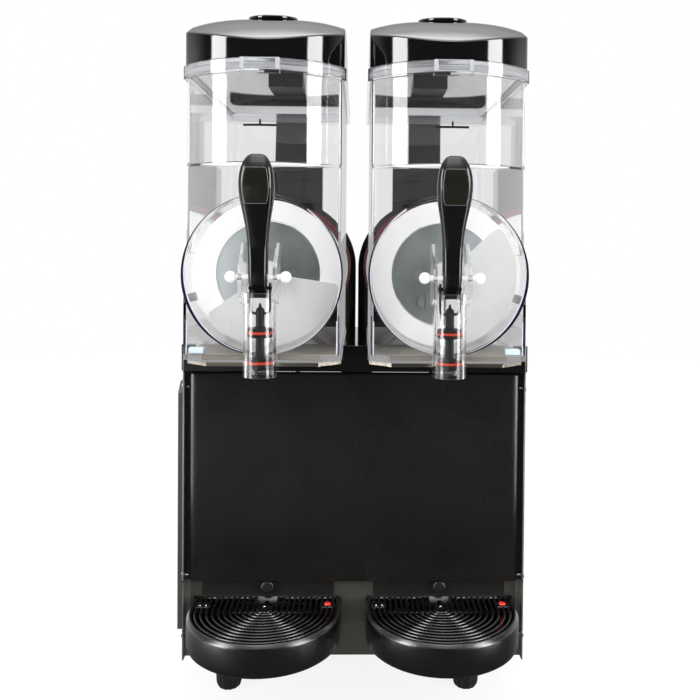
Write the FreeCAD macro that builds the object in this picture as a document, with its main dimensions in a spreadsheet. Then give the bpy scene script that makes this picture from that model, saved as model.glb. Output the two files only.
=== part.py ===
"""Twin-bowl slush machine as an assembly of separate pieces.

Millimetres, X to the right, Y to the back, Z up. The origin is on the floor, under the middle of the machine.
"""

import FreeCAD, Part

import math
import os

import Sketcher

# Driving dimensions, each one a cell of the sheet.
SIZES = {
    # Cabinet
    "body_width": 396.6,
    "body_back": 241.5,
    "floor_gap": 63.0,
    "sheet": 1.5,
    "side_front": 130.5,
    "plinth_front": 118.5,
    "plinth_top": 154.0,
    "panel_front": 128.5,
    "panel_width": 382.0,
    "panel_round": 6.5,
    "flange_width": 6.0,
    "deck_bottom": 400.5,
    "deck_width": 400.0,
    "deck_front": 135.5,
    "deck_top": 414.0,
    "deck_skin": 3.0,
    "lip_top": 430.5,
    "lip_depth": 12.0,
    "cover_depth": 9.6,
    "vent_slot": 4.0,
    "vent_pitch": 11.0,
    # Feet
    "foot_spread": 293.0,
    "foot_shift": 6.8,
    "foot_front": 68.5,
    "foot_back": 207.5,
    "foot_radius": 16.5,
    # Bowls
    "bowl_spread": 201.0,
    "wall": 3.0,
    "seat_gap": 0.3,
    "drum_height": 513.5,
    "drum_radius": 87.0,
    "drum_front": 192.5,
    "drum_back": 141.5,
    "flange_radius": 90.5,
    "tank_half": 84.0,
    "tank_front": 187.5,
    "tank_back": 137.5,
    "tank_round": 14.0,
    "ledge_height": 630.0,
    "bow_shoulder": 173.5,
    "bow_depth": 42.0,
    "collar_bottom": 725.5,
    "collar_top": 739.5,
    "collar_step": 4.6,
    "collar_wall": 2.0,
    "clip_half": 20.5,
    "base_bottom": 419.6,
    "base_thickness": 7.4,
    "base_half": 85.4,
    "base_front": 197.5,
    # Taps
    "tap_forward": 206.5,
    "tap_bore": 14.5,
    "tap_wall": 3.1,
    "tap_bottom": 406.5,
    "tap_top": 495.0,
    "port_height": 436.5,
    "port_radius": 6.5,
    "pivot_forward": 224.5,
    "pivot_height": 512.5,
    "pin_radius": 3.0,
    "running_gap": 0.06,
    "ball_radius": 6.1,
    "ball_spread": 56.8,
    "ear_half": 20.0,
    "ear_wall": 4.0,
    "ear_top": 548.0,
    "ear_reach": 9.5,
    "lever_half": 10.3,
    "grip_half": 19.0,
    "lever_top": 634.5,
    "grip_height": 603.0,
    "hook_height": 500.0,
    "hook_radius": 2.0,
    "tongue_half": 8.2,
    "tongue_bottom": 490.0,
    "rod_radius": 4.65,
    "disc_radius": 13.3,
    "seal_radius": 14.2,
    "seal_thickness": 3.4,
    "lower_seal": 421.5,
    "upper_seal": 453.0,
    # Cold drum and auger
    "cold_radius": 58.7,
    "cold_front": 141.5,
    "shaft_radius": 6.0,
    "auger_radius": 83.2,
    "auger_gap": 1.4,
    "auger_thickness": 3.0,
    "auger_pitch": 96.0,
    "ring_gap": 0.6,
    "auger_turns": 2.9,
    "fan_plate": 3.0,
    "fan_gap": 3.8,
    # Rear housings
    "housing_radius": 98.7,
    "housing_front": 145.5,
    "housing_back": 237.5,
    "column_half": 24.0,
    "column_top": 737.0,
    "column_front": 152.5,
    "column_depth": 35.0,
    "neck_half": 50.0,
    "neck_top": 662.0,
    # Lids
    "lid_skin": 2.6,
    "lid_edge": 758.0,
    "lid_crown": 812.5,
    "lid_round": 6.0,
    "knob_radius": 29.0,
    "knob_height": 1.5,
    "knob_forward": 85.0,
    "lamp_half": 23.5,
    "lamp_depth": 70.0,
    # Drip trays
    "tray_radius": 86.5,
    "tray_front": 239.0,
    "tray_bottom": 98.0,
    "tray_top": 134.0,
    "tray_wall": 2.5,
    "grille_thickness": 3.0,
    "grille_bar": 3.0,
    "slot_width": 3.3,
    "slot_pitch": 6.4,
    "grille_hub": 11.5,
    "float_radius": 4.0,
    "float_side": 71.0,
}

# Counts and angles in degrees.
SLOT_COUNT = 11
REAR_SLOTS = 18
COVER_SLOTS = 22
FIN_COUNT = 26
FAN_BLADES = 5
BLADE_TWIST = 24.0
LEFT_FAN_TURN = -77.0
RIGHT_FAN_TURN = -27.0
FAN_SPREAD = 138.0
PLUG_TURN = -125.0
SWITCH_TILT = 8.0

# Places and sizes of what the cabinet hides or carries. A place on a side panel is front to back, then height.
PAN_HEIGHT = 20.0
FOOT_TOE = 7.0
FOOT_RIB = 9.0
PANEL_SCREW_ROWS = (-123.0, 225.0)
PANEL_SCREW_HEIGHTS = (90.0, 160.0, 380.0)
INTAKE_BOX = (-95.0, 110.0, 120.0, 360.0)
CONTROL_BOX = (0.0, 230.0, 150.0, 370.0)
COVER_BOX = (-112.5, 91.0, 137.5, 383.0)
COVER_SLANT = 12.0
COVER_FIRST_SLOT = 115.0
REAR_SLOT_SIDE = 95.0
REAR_SLOT_HALF = 70.0
REAR_FIRST_SLOT = 150.0
GLAND_PLACE = (150.0, 100.0)
WIRE_HALF = 30.0
WIRE_FRONT = 165.0
WIRE_BACK = 215.0
CONTROL_FLOOR = 186.0
CONTROL_RIM = 8.0
SWITCH_PLACES = {"power_switch": 30.0, "left_mode_switch": 75.0, "right_mode_switch": 120.0}
SWITCH_HEIGHT = 325.0
ROCKER = (7.0, 11.0, 4.5)
KNOB_PLACES = {"left_thermostat_knob": 50.0, "right_thermostat_knob": 105.0}
KNOB_HEIGHT = 268.0
KNOB_STEM = 3.0
COMPRESSOR = (95.0, 90.0)
COMPRESSOR_RADIUS = 60.0
PORT_OFFSETS = (0.0, 20.0)
PORT_TOP = 134.0
CONDENSER = (-188.0, -80.0, -150.0, 110.0)
CONDENSER_HEIGHT = 280.0
FIN_PITCH = 10.0
FAN_CENTRE = (15.0, 205.0)
FAN_RADIUS = 80.0
RING_DEPTH = 26.0
FAN_SHAFT = 3.0
LINE_RADIUS = 3.2
LINE_BEND = 16.0
LINE_BACK = 172.0
DRYER_SIDE = -90.0
DRYER_LOW = 60.0
DRYER_RADIUS = 11.0
DRYER_END = 12.0
DRYER_CAN = 66.0
PLUG_REACH = 37.4
FLOAT_PLACE = -142.0
KNOB_ROOT = 9.5
LAMP_LOW = 764.0

doc = FreeCAD.newDocument("slush_machine")
sheet = doc.addObject("Spreadsheet::Sheet", "Size")
nodes = []


class Length:
    """A number together with the sheet expression that it comes from."""

    def __init__(self, number, text):
        self.number = number
        self.text = text

    def __add__(self, other):
        return joined(self, "+", other, self.number + number_of(other))

    def __radd__(self, other):
        return joined(other, "+", self, number_of(other) + self.number)

    def __sub__(self, other):
        return joined(self, "-", other, self.number - number_of(other))

    def __rsub__(self, other):
        return joined(other, "-", self, number_of(other) - self.number)

    def __mul__(self, other):
        return joined(self, "*", other, self.number * number_of(other))

    def __rmul__(self, other):
        return joined(other, "*", self, number_of(other) * self.number)

    def __truediv__(self, other):
        return joined(self, "/", other, self.number / number_of(other))

    def __neg__(self):
        return Length(-self.number, f"(0 - {self.text})")


def number_of(value):
    return value.number if isinstance(value, Length) else float(value)


def text_of(value):
    return value.text if isinstance(value, Length) else f"({float(value)!r})"


def joined(first, sign, second, number):
    return Length(number, f"({text_of(first)} {sign} {text_of(second)})")


def size(name):
    """The cell of that name, as a length that other lengths are worked out from."""
    return Length(float(sheet.get(name)), f"{sheet.Name}.{name}")


ZERO = Length(0.0, "(0)")


def fill_sheet():
    for row, (name, number) in enumerate(SIZES.items(), start=1):
        sheet.set(f"A{row}", name)
        sheet.set(f"B{row}", str(number))
        sheet.setAlias(f"B{row}", name)
    doc.recompute()


def bind(item, prop, value):
    """Set a property and keep it tied to the sheet."""
    if isinstance(value, Length):
        item.setExpression(prop, value.text)
    elif "." not in prop:
        setattr(item, prop, value)


def put(item, x, y, z, axis=None, angle=0.0):
    """Place an item by its own origin, turned about an axis through it."""
    turn = FreeCAD.Rotation(FreeCAD.Vector(*(axis or (0, 0, 1))), angle)
    item.Placement = FreeCAD.Placement(FreeCAD.Vector(number_of(x), number_of(y), number_of(z)), turn)
    for name, value in (("x", x), ("y", y), ("z", z)):
        bind(item, f"Placement.Base.{name}", value)


def new(kind, name):
    return doc.addObject(kind, name)


def box(name, low, high):
    """A block from its low corner to its high corner."""
    item = new("Part::Box", name)
    for prop, start, end in zip(("Length", "Width", "Height"), low, high):
        bind(item, prop, end - start)
    put(item, *low)
    return item


TURNS = {"x": ((0, 1, 0), 90.0), "y": ((1, 0, 0), -90.0), "z": ((0, 0, 1), 0.0)}


def rod(name, along, start, radius, length):
    """A cylinder along an axis of the machine, from the middle of its first end."""
    item = new("Part::Cylinder", name)
    bind(item, "Radius", radius)
    bind(item, "Height", length)
    axis, angle = TURNS[along]
    put(item, *start, axis=axis, angle=angle)
    return item


def cone(name, along, start, first, last, length):
    item = new("Part::Cone", name)
    bind(item, "Radius1", first)
    bind(item, "Radius2", last)
    bind(item, "Height", length)
    axis, angle = TURNS[along]
    put(item, *start, axis=axis, angle=angle)
    return item


def ball(name, centre, radius):
    item = new("Part::Sphere", name)
    bind(item, "Radius", radius)
    put(item, *centre)
    return item


def fuse(name, *pieces):
    item = new("Part::MultiFuse", name)
    item.Shapes = list(pieces)
    return item


def cut(name, base, *tools):
    item = new("Part::Cut", name)
    item.Base = base
    item.Tool = tools[0] if len(tools) == 1 else fuse(name + "_tools", *tools)
    return item


def common(name, first, second):
    item = new("Part::MultiCommon", name)
    item.Shapes = [first, second]
    return item


def group(name, pieces):
    item = new("Part::Compound", name)
    item.Links = list(pieces)
    return item


def node(label, item):
    """Hand an item over as one named piece of the machine."""
    item.Label = label
    nodes.append(item)
    return item


def plane_of(body, role):
    return next(item for item in body.Origin.OriginFeatures if item.Role == role)


def sketch_on(body, role, offset):
    """A sketch on one of the body's own planes, moved along that plane's normal."""
    sketch = body.newObject("Sketcher::SketchObject", body.Name + "_sketch")
    sketch.AttachmentSupport = [(plane_of(body, role), "")]
    sketch.MapMode = "FlatFace"
    sketch.AttachmentOffset = FreeCAD.Placement(FreeCAD.Vector(0, 0, number_of(offset)), FreeCAD.Rotation())
    if isinstance(offset, Length):
        sketch.setExpression("AttachmentOffset.Base.z", offset.text)
    return sketch


def tie(sketch, kind, *where):
    """Add one constraint whose last entry is its value."""
    *places, value = where
    index = sketch.addConstraint(Sketcher.Constraint(kind, *places, number_of(value)))
    if isinstance(value, Length):
        sketch.setExpression(f"Constraints[{index}]", value.text)


def tie_point(sketch, edge, end, point, keep="xy"):
    for letter, kind, value in zip("xy", ("DistanceX", "DistanceY"), point):
        if letter in keep:
            tie(sketch, kind, -1, 1, edge, end, value)


def vector(point):
    return FreeCAD.Vector(number_of(point[0]), number_of(point[1]), 0)


def loop(sketch, start, *steps):
    """Draw one closed loop.

    A step is an end point for a straight edge, or an end point, a centre and +1 or -1 for an arc that turns
    left or right.
    """
    first = sketch.GeometryCount
    here = start
    arcs = []
    for step in steps:
        if len(step) == 2:
            sketch.addGeometry(Part.LineSegment(vector(here), vector(step)))
            arcs.append(None)
            here = step
            continue
        end, centre, turn = step
        middle = vector(centre)
        radius = (vector(here) - middle).Length
        low, high = (here, end) if turn > 0 else (end, here)
        angles = [math.atan2((vector(p) - middle).y, (vector(p) - middle).x) for p in (low, high)]
        if angles[1] <= angles[0]:
            angles[1] += 2 * math.pi
        circle = Part.Circle(middle, FreeCAD.Vector(0, 0, 1), radius)
        sketch.addGeometry(Part.ArcOfCircle(circle, *angles))
        arcs.append((centre, turn))
        here = end
    count = len(steps)
    ends = []
    for arc in arcs:
        ends.append((1, 2) if arc is None or arc[1] > 0 else (2, 1))
    for number in range(count):
        after = (number + 1) % count
        sketch.addConstraint(
            Sketcher.Constraint("Coincident", first + number, ends[number][1], first + after, ends[after][0])
        )
    here = start
    loose = {}
    for number, step in enumerate(steps):
        if arcs[number] is not None:
            end, centre, turn = step
            tie_point(sketch, first + number, 3, centre)
            reach = vector(end) - vector(centre)
            loose[(number + 1) % count] = "y" if abs(reach.x) > abs(reach.y) else "x"
    for number, step in enumerate(steps):
        tie_point(sketch, first + number, ends[number][0], here, loose.get(number, "xy"))
        here = step if arcs[number] is None else step[0]


def rectangle(sketch, low, high):
    loop(sketch, low, (high[0], low[1]), high, (low[0], high[1]), low)


def circle(sketch, centre, radius):
    edge = sketch.addGeometry(Part.Circle(vector(centre), FreeCAD.Vector(0, 0, 1), number_of(radius)))
    tie_point(sketch, edge, 3, centre)
    tie(sketch, "Radius", edge, radius)


def feature(body, kind, sketch, length, flip=False):
    """A pad or a pocket of the given length."""
    item = body.newObject("PartDesign::" + kind, body.Name + "_" + kind.lower())
    item.Profile = sketch
    item.Reversed = flip
    bind(item, "Length", length)
    doc.recompute()
    return item


def pad(body, sketch, length, flip=False):
    return feature(body, "Pad", sketch, length, flip)


def pocket(body, sketch, length, flip=False):
    """A pocket that must take material away."""
    before = body.Shape.Volume
    item = feature(body, "Pocket", sketch, length, flip)
    if body.Shape.Volume >= before - 1e-6:
        raise ValueError(f"pocket of {body.Label} removes nothing")
    return item


def repeat(body, source, step, count, downward=False):
    """Copies of a feature in a row that climbs, or goes down."""
    item = body.newObject("PartDesign::LinearPattern", body.Name + "_row")
    item.Originals = [source]
    item.Direction = (plane_of(body, "Z_Axis"), [""])
    item.Reversed = downward
    bind(item, "Length", step * (count - 1))
    item.Occurrences = count
    body.Tip = item
    doc.recompute()
    return item


def round_edges(body, radius, wanted):
    """Fillet the edges of the body's last feature that the test picks."""
    doc.recompute()
    base = body.Tip
    names = [f"Edge{i}" for i, edge in enumerate(base.Shape.Edges, start=1) if wanted(edge)]
    item = body.newObject("PartDesign::Fillet", body.Name + "_fillet")
    item.Base = (base, names)
    bind(item, "Radius", radius)
    doc.recompute()
    return item


def new_body(name):
    return new("PartDesign::Body", name)


def runs_along(edge, axis):
    """True for a straight edge parallel to that axis of the machine."""
    if edge.Curve.TypeId != "Part::GeomLine":
        return False
    return abs(abs(edge.Curve.Direction[axis]) - 1) < 1e-6


# Cabinet

def make_base_pan():
    body = new_body("base_pan")
    half = size("body_width") / 2 - size("sheet")
    front = -(size("plinth_front") - size("sheet"))
    back = size("body_back") - size("sheet")
    outer = sketch_on(body, "XY_Plane", size("floor_gap"))
    rectangle(outer, (-half, front), (half, back))
    pad(body, outer, PAN_HEIGHT)
    inner = sketch_on(body, "XY_Plane", size("floor_gap") + PAN_HEIGHT)
    edge = size("sheet")
    rectangle(inner, (edge - half, front + edge), (half - edge, back - edge))
    pocket(body, inner, PAN_HEIGHT - edge)
    node("base_pan", body)


def foot_places():
    side = size("foot_spread") / 2
    shift = size("foot_shift")
    return [(x - shift, y) for x in (-side, side) for y in (-size("foot_front"), size("foot_back"))]


def make_feet():
    radius = size("foot_radius")
    height = size("floor_gap")
    feet = []
    for number, (x, y) in enumerate(foot_places()):
        name = f"foot_{number}"
        parts = [
            cone(name + "_toe", "z", (x, y, 0), radius - 4.0, radius, FOOT_TOE),
            rod(name + "_core", "z", (x, y, FOOT_TOE), radius - 1.4, height - FOOT_TOE),
            rod(name + "_cap", "z", (x, y, height - 8.0), radius + 1.5, 8.0),
        ]
        for step in range(4):
            low = FOOT_TOE + step * FOOT_RIB
            parts.append(rod(f"{name}_rib_{step}", "z", (x, y, low), radius, FOOT_RIB - 2.5))
        feet.append(fuse(name, *parts))
    node("feet", group("feet", feet))


def thumb_places():
    side = size("bowl_spread") / 2
    return [(x, size("plinth_top") - 7.5) for x in (-side, side)]


def make_plinth_plate():
    half = size("body_width") / 2 - size("sheet")
    front = -size("plinth_front")
    body = new_body("plinth_plate")
    face = sketch_on(body, "XZ_Plane", size("plinth_front"))
    rectangle(face, (-half, size("floor_gap")), (half, size("plinth_top") + 10.0))
    pad(body, face, size("sheet"), flip=True)
    holes = sketch_on(body, "XZ_Plane", size("plinth_front"))
    for x, z in thumb_places():
        circle(holes, (x, z), 2.1)
    pocket(body, holes, size("sheet"))
    node("plinth_plate", body)
    screws = []
    for number, (x, z) in enumerate(thumb_places()):
        name = f"thumb_{number}"
        head = rod(name + "_head", "y", (x, front - 9.0, z), 5.3, 9.0)
        stem = rod(name + "_stem", "y", (x, front - 1.0, z), 2.0, 9.0)
        screws.append(fuse(name, head, stem))
    node("panel_thumbscrews", group("panel_thumbscrews", screws))


def make_front_panel():
    body = new_body("front_panel")
    half = size("panel_width") / 2
    bottom = size("plinth_top")
    top = size("deck_bottom")
    depth = size("panel_front") - flange_front()
    face = sketch_on(body, "XZ_Plane", flange_front())
    rectangle(face, (-half, bottom), (half, top))
    pad(body, face, depth)
    front = -SIZES["panel_front"]
    round_edges(
        body, size("panel_round"), lambda edge: runs_along(edge, 2) and abs(edge.CenterOfMass.y - front) < 0.1
    )
    wall = size("sheet")
    hollow = sketch_on(body, "XZ_Plane", flange_front())
    rim = size("panel_round")
    rectangle(hollow, (rim - half, bottom + wall), (half - rim, top - wall))
    pocket(body, hollow, depth - wall, flip=True)
    node("front_panel", body)


def flange_front():
    """How far in front of the origin the side panels' front flanges face."""
    return size("plinth_front") + size("sheet")


def screw_places():
    """Front to back and height of the screws on each side panel."""
    return [(y, z) for y in PANEL_SCREW_ROWS for z in PANEL_SCREW_HEIGHTS]


def make_side_panel(side, sign):
    """One side panel with its front flange and its opening: air intake on the left, controls on the right."""
    name = f"{side}_side_panel"
    outer = size("body_width") / 2 * sign
    inner = outer - size("sheet") * sign
    flange = inner - size("flange_width") * sign
    low, high = sorted((outer, inner), key=number_of)
    bottom = size("floor_gap")
    top = size("deck_bottom")
    body = new_body(name)
    face = sketch_on(body, "YZ_Plane", low)
    rectangle(face, (-size("side_front"), bottom), (size("body_back"), top))
    pad(body, face, high - low)
    ends = sketch_on(body, "XY_Plane", bottom)
    a, b = sorted((inner, flange), key=number_of)
    rectangle(ends, (a, -flange_front()), (b, size("sheet") - flange_front()))
    pad(body, ends, top - bottom)
    holes = sketch_on(body, "YZ_Plane", high)
    for y, z in screw_places():
        circle(holes, (y, z), 1.7)
    low_y, low_z, high_y, high_z = INTAKE_BOX if side == "left" else CONTROL_BOX
    rectangle(holes, (low_y, low_z), (high_y, high_z))
    pocket(body, holes, high - low)
    node(name, body)


def make_panel_screws():
    half = size("body_width") / 2
    screws = []
    for sign in (-1, 1):
        for number, (y, z) in enumerate(screw_places()):
            name = f"screw_{'l' if sign < 0 else 'r'}{number}"
            head_start = half if sign > 0 else -half - 1.8
            stem_start = half - 6.0 if sign > 0 else -half
            head = rod(name + "_head", "x", (head_start, y, z), 3.6, 1.8)
            stem = rod(name + "_stem", "x", (stem_start, y, z), 1.6, 6.0)
            screws.append(fuse(name, head, stem))
    node("panel_screws", group("panel_screws", screws))


def make_rear_panel():
    body = new_body("rear_panel")
    half = size("body_width") / 2 - size("sheet")
    bottom = size("floor_gap")
    back = size("body_back")
    face = sketch_on(body, "XZ_Plane", -back)
    rectangle(face, (-half, bottom), (half, size("deck_bottom")))
    pad(body, face, size("sheet"))
    gland = sketch_on(body, "XZ_Plane", -back)
    circle(gland, GLAND_PLACE, 8.0)
    pocket(body, gland, size("sheet"), flip=True)
    for centre in (-REAR_SLOT_SIDE, REAR_SLOT_SIDE):
        slot = sketch_on(body, "XZ_Plane", -back)
        low = (centre - REAR_SLOT_HALF, REAR_FIRST_SLOT)
        rectangle(slot, low, (centre + REAR_SLOT_HALF, REAR_FIRST_SLOT + size("vent_slot")))
        first = pocket(body, slot, size("sheet"), flip=True)
        repeat(body, first, size("vent_pitch"), REAR_SLOTS)
    node("rear_panel", body)


def make_cable_gland():
    x, z = GLAND_PLACE
    back = size("body_back")
    flange = rod("gland_flange", "y", (x, back, z), 12.0, 4.0)
    nose = cone("gland_nose", "y", (x, back + 4.0, z), 9.5, 7.0, 7.0)
    neck = rod("gland_neck", "y", (x, back - 8.0, z), 7.9, 8.0)
    bore = rod("gland_bore", "y", (x, back - 10.0, z), 4.0, 24.0)
    node("cable_gland", cut("cable_gland", fuse("gland_solid", flange, nose, neck), bore))


def make_top_deck():
    body = new_body("top_deck")
    half = size("deck_width") / 2
    bottom = size("deck_bottom")
    front = -size("deck_front")
    back = size("body_back")
    skin = size("deck_skin")
    plan = sketch_on(body, "XY_Plane", bottom)
    rectangle(plan, (-half, front), (half, back))
    pad(body, plan, size("deck_top") - bottom)
    lip = sketch_on(body, "XY_Plane", size("deck_top"))
    rectangle(lip, (-half, front), (half, front + size("lip_depth")))
    pad(body, lip, size("lip_top") - size("deck_top"))
    seat = size("base_half") + 1.0
    notch = sketch_on(body, "XY_Plane", size("lip_top"))
    for middle in (-size("bowl_spread") / 2, size("bowl_spread") / 2):
        rectangle(notch, (middle - seat, front - 1.0), (middle + seat, front + size("lip_depth") + 1.0))
    pocket(body, notch, size("lip_top") - size("deck_top"))
    hollow = sketch_on(body, "XY_Plane", bottom)
    rectangle(hollow, (skin - half, front + skin), (half - skin, back - skin))
    pocket(body, hollow, size("deck_top") - skin - bottom, flip=True)
    wires = sketch_on(body, "XY_Plane", size("deck_top"))
    for middle in (-size("bowl_spread") / 2, size("bowl_spread") / 2):
        rectangle(wires, (middle - WIRE_HALF, WIRE_FRONT), (middle + WIRE_HALF, WIRE_BACK))
    pocket(body, wires, skin)
    top = SIZES["lip_top"]
    edge_x = SIZES["deck_width"] / 2
    round_edges(
        body,
        5.0,
        lambda edge: runs_along(edge, 2)
        and abs(abs(edge.CenterOfMass.x) - edge_x) < 0.1
        and edge.CenterOfMass.z < top,
    )
    node("top_deck", body)


def make_filter_cover():
    """Louvred cover that stands out on the left side, over the air intake."""
    body = new_body("filter_cover")
    half = size("body_width") / 2
    depth = size("cover_depth")
    low_y, low_z, high_y, high_z = COVER_BOX
    slant = COVER_SLANT
    wall = 2.0
    face = sketch_on(body, "YZ_Plane", -half)
    loop(
        face,
        (low_y, low_z),
        (high_y, low_z),
        (high_y, high_z - slant),
        (high_y - slant, high_z),
        (low_y + slant, high_z),
        (low_y, high_z - slant),
        (low_y, low_z),
    )
    pad(body, face, depth, flip=True)
    hollow = sketch_on(body, "YZ_Plane", -half)
    rectangle(hollow, (low_y + slant, low_z + wall), (high_y - slant, high_z - wall))
    pocket(body, hollow, depth - wall)
    slot = sketch_on(body, "YZ_Plane", -half)
    rectangle(slot, (low_y + 30.0, COVER_FIRST_SLOT), (high_y - 30.0, COVER_FIRST_SLOT + size("vent_slot")))
    first = pocket(body, slot, depth)
    repeat(body, first, size("vent_pitch"), COVER_SLOTS)
    node("filter_cover", body)


# Controls

def make_control_panel():
    """Open tub set into the right side panel, with the switches and knobs on its floor."""
    body = new_body("control_panel")
    outer = size("body_width") / 2 + size("cover_depth")
    wall = 2.0
    gap = size("seat_gap")
    low_y, low_z, high_y, high_z = CONTROL_BOX
    tub = sketch_on(body, "YZ_Plane", CONTROL_FLOOR)
    rectangle(tub, (low_y + gap, low_z + gap), (high_y - gap, high_z - gap))
    pad(body, tub, outer - CONTROL_FLOOR)
    rim = sketch_on(body, "YZ_Plane", size("body_width") / 2)
    rectangle(
        rim, (low_y - CONTROL_RIM, low_z - CONTROL_RIM), (high_y + CONTROL_RIM, high_z + CONTROL_RIM)
    )
    pad(body, rim, size("cover_depth"))
    hollow = sketch_on(body, "YZ_Plane", outer)
    rectangle(hollow, (low_y + gap + wall, low_z + gap + wall), (high_y - gap - wall, high_z - gap - wall))
    pocket(body, hollow, outer - CONTROL_FLOOR - wall)
    holes = sketch_on(body, "YZ_Plane", CONTROL_FLOOR + wall)
    half_y, half_z, _ = ROCKER
    for y in SWITCH_PLACES.values():
        rectangle(
            holes,
            (y - half_y - 0.5, SWITCH_HEIGHT - half_z - 0.8),
            (y + half_y + 0.5, SWITCH_HEIGHT + half_z + 0.8),
        )
    for y in KNOB_PLACES.values():
        circle(holes, (y, KNOB_HEIGHT), KNOB_STEM + size("running_gap"))
    pocket(body, holes, wall)
    node("control_panel", body)


def make_switches():
    half_y, half_z, half_x = ROCKER
    middle = CONTROL_FLOOR + 1.0
    for name, y in SWITCH_PLACES.items():
        item = box(name + "_block", (-half_x, -half_y, -half_z), (half_x, half_y, half_z))
        whole = fuse(name, item, rod(name + "_axle", "y", (0.0, -half_y - 0.3, 0.0), 1.2, 2 * half_y + 0.6))
        put(whole, middle, y, SWITCH_HEIGHT, axis=(0, 1, 0), angle=SWITCH_TILT)
        node(name, whole)


def make_knobs():
    face = CONTROL_FLOOR + 2.0
    for name, y in KNOB_PLACES.items():
        skirt = cone(name + "_skirt", "x", (face + 0.3, y, KNOB_HEIGHT), 12.0, 10.0, 5.0)
        grip = box(name + "_grip", (face + 4.0, y - 2.5, KNOB_HEIGHT - 9.5), (face + 15.0, y + 2.5, KNOB_HEIGHT + 9.5))
        stem = rod(name + "_stem", "x", (face - 6.0, y, KNOB_HEIGHT), KNOB_STEM, 8.0)
        node(name, fuse(name, skirt, grip, stem))


# Cooling unit

def make_compressor():
    x, y = COMPRESSOR
    floor = size("floor_gap") + size("sheet")
    plate = box("compressor_plate", (x - 70.0, y - 50.0, floor), (x + 70.0, y + 50.0, floor + 4.0))
    can = rod("compressor_can", "z", (x, y, floor + 3.0), COMPRESSOR_RADIUS, 95.0)
    dome = cone("compressor_dome", "z", (x, y, floor + 98.0), COMPRESSOR_RADIUS, 34.0, 28.0)
    seam = rod("compressor_seam", "z", (x, y, floor + 58.0), COMPRESSOR_RADIUS + 3.0, 4.0)
    terminal = box("compressor_terminal", (x - 82.0, y - 20.0, floor + 40.0), (x - 50.0, y + 20.0, floor + 90.0))
    ports = [
        rod(f"compressor_port_{number}", "z", (x + offset, y, floor + 105.0), 5.0, PORT_TOP - 105.0)
        for number, offset in enumerate(PORT_OFFSETS)
    ]
    node("compressor", fuse("compressor", plate, can, dome, seam, terminal, *ports))


def make_condenser():
    low_x, low_y, high_x, high_y = CONDENSER
    bottom = size("floor_gap") + size("sheet")
    top = bottom + CONDENSER_HEIGHT
    body = new_body("condenser")
    block = sketch_on(body, "XY_Plane", bottom)
    rectangle(block, (low_x, low_y), (high_x, high_y))
    pad(body, block, top - bottom)
    for side in (low_x, high_x):
        inward = 9.0 if side == low_x else -9.0
        slot = sketch_on(body, "XY_Plane", top - 12.0)
        a, b = sorted((side, side + inward))
        rectangle(slot, (a, low_y + 8.0), (b, high_y - 8.0))
        first = pocket(body, slot, 5.0)
        repeat(body, first, FIN_PITCH, FIN_COUNT, downward=True)
    node("condenser", body)


def make_fan():
    """Shroud on the condenser, motor on two straps behind it, and the blade between them."""
    low_x, low_y, high_x, high_y = CONDENSER
    y, z = FAN_CENTRE
    bottom = size("floor_gap") + size("sheet")
    plate = box("shroud_plate", (high_x, low_y, bottom), (high_x + 2.0, high_y, bottom + CONDENSER_HEIGHT))
    ring = rod("shroud_ring", "x", (high_x, y, z), FAN_RADIUS + 5.0, RING_DEPTH)
    hole = rod("shroud_hole", "x", (high_x - 1.0, y, z), FAN_RADIUS + 3.0, RING_DEPTH + 2.0)
    node("fan_shroud", cut("fan_shroud", fuse("shroud_solid", plate, ring), hole))
    strap_x = high_x + RING_DEPTH
    strap = box("motor_strap", (strap_x, low_y + 10.0, z - 8.0), (strap_x + 2.0, high_y - 10.0, z + 8.0))
    can = rod("motor_can", "x", (strap_x + 1.0, y, z), 30.0, 48.0)
    shaft = rod("motor_shaft", "x", (strap_x - 20.0, y, z), FAN_SHAFT, 24.0)
    node("fan_motor", fuse("fan_motor", strap, can, shaft))
    hub = rod("blade_hub", "x", (strap_x - 18.0, y, z), 17.0, 12.0)
    parts = [hub]
    for number in range(FAN_BLADES):
        low = (-1.0, -19.0, 10.0)
        blade = box(f"blade_{number}", low, (1.0, 19.0, FAN_RADIUS - 5.0))
        twist = FreeCAD.Rotation(FreeCAD.Vector(0, 0, 1), BLADE_TWIST)
        spin = FreeCAD.Rotation(FreeCAD.Vector(1, 0, 0), 360.0 / FAN_BLADES * number)
        turn = spin.multiply(twist)
        corner = turn.multVec(FreeCAD.Vector(*low))
        blade.Placement = FreeCAD.Placement(FreeCAD.Vector(strap_x - 12.0, y, z) + corner, turn)
        parts.append(blade)
    bore = rod("blade_bore", "x", (strap_x - 30.0, y, z), FAN_SHAFT + size("running_gap"), 40.0)
    node("fan_blade", cut("fan_blade", fuse("blade_solid", *parts), bore))


def bent_path(points, radius):
    """A path of straight runs joined by tangent arcs of one radius."""
    edges = []
    here = FreeCAD.Vector(*points[0])
    for before, corner, after in zip(points, points[1:], points[2:]):
        corner = FreeCAD.Vector(*corner)
        toward = (FreeCAD.Vector(*before) - corner).normalize()
        away = (FreeCAD.Vector(*after) - corner).normalize()
        half = toward.getAngle(away) / 2
        reach = radius / math.tan(half)
        first = corner + toward * reach
        last = corner + away * reach
        inward = (toward + away).normalize()
        middle = corner + inward * (radius / math.sin(half) - radius)
        edges.append(Part.LineSegment(here, first).toShape())
        edges.append(Part.Arc(first, middle, last).toShape())
        here = last
    edges.append(Part.LineSegment(here, FreeCAD.Vector(*points[-1])).toShape())
    return Part.Wire(edges)


def bent_tube(points, bend, radius):
    path = bent_path(points, bend)
    start = FreeCAD.Vector(*points[0])
    ring = Part.Wire(Part.makeCircle(radius, start, FreeCAD.Vector(*points[1]) - start))
    return path.makePipeShell([ring], True, False)


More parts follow.
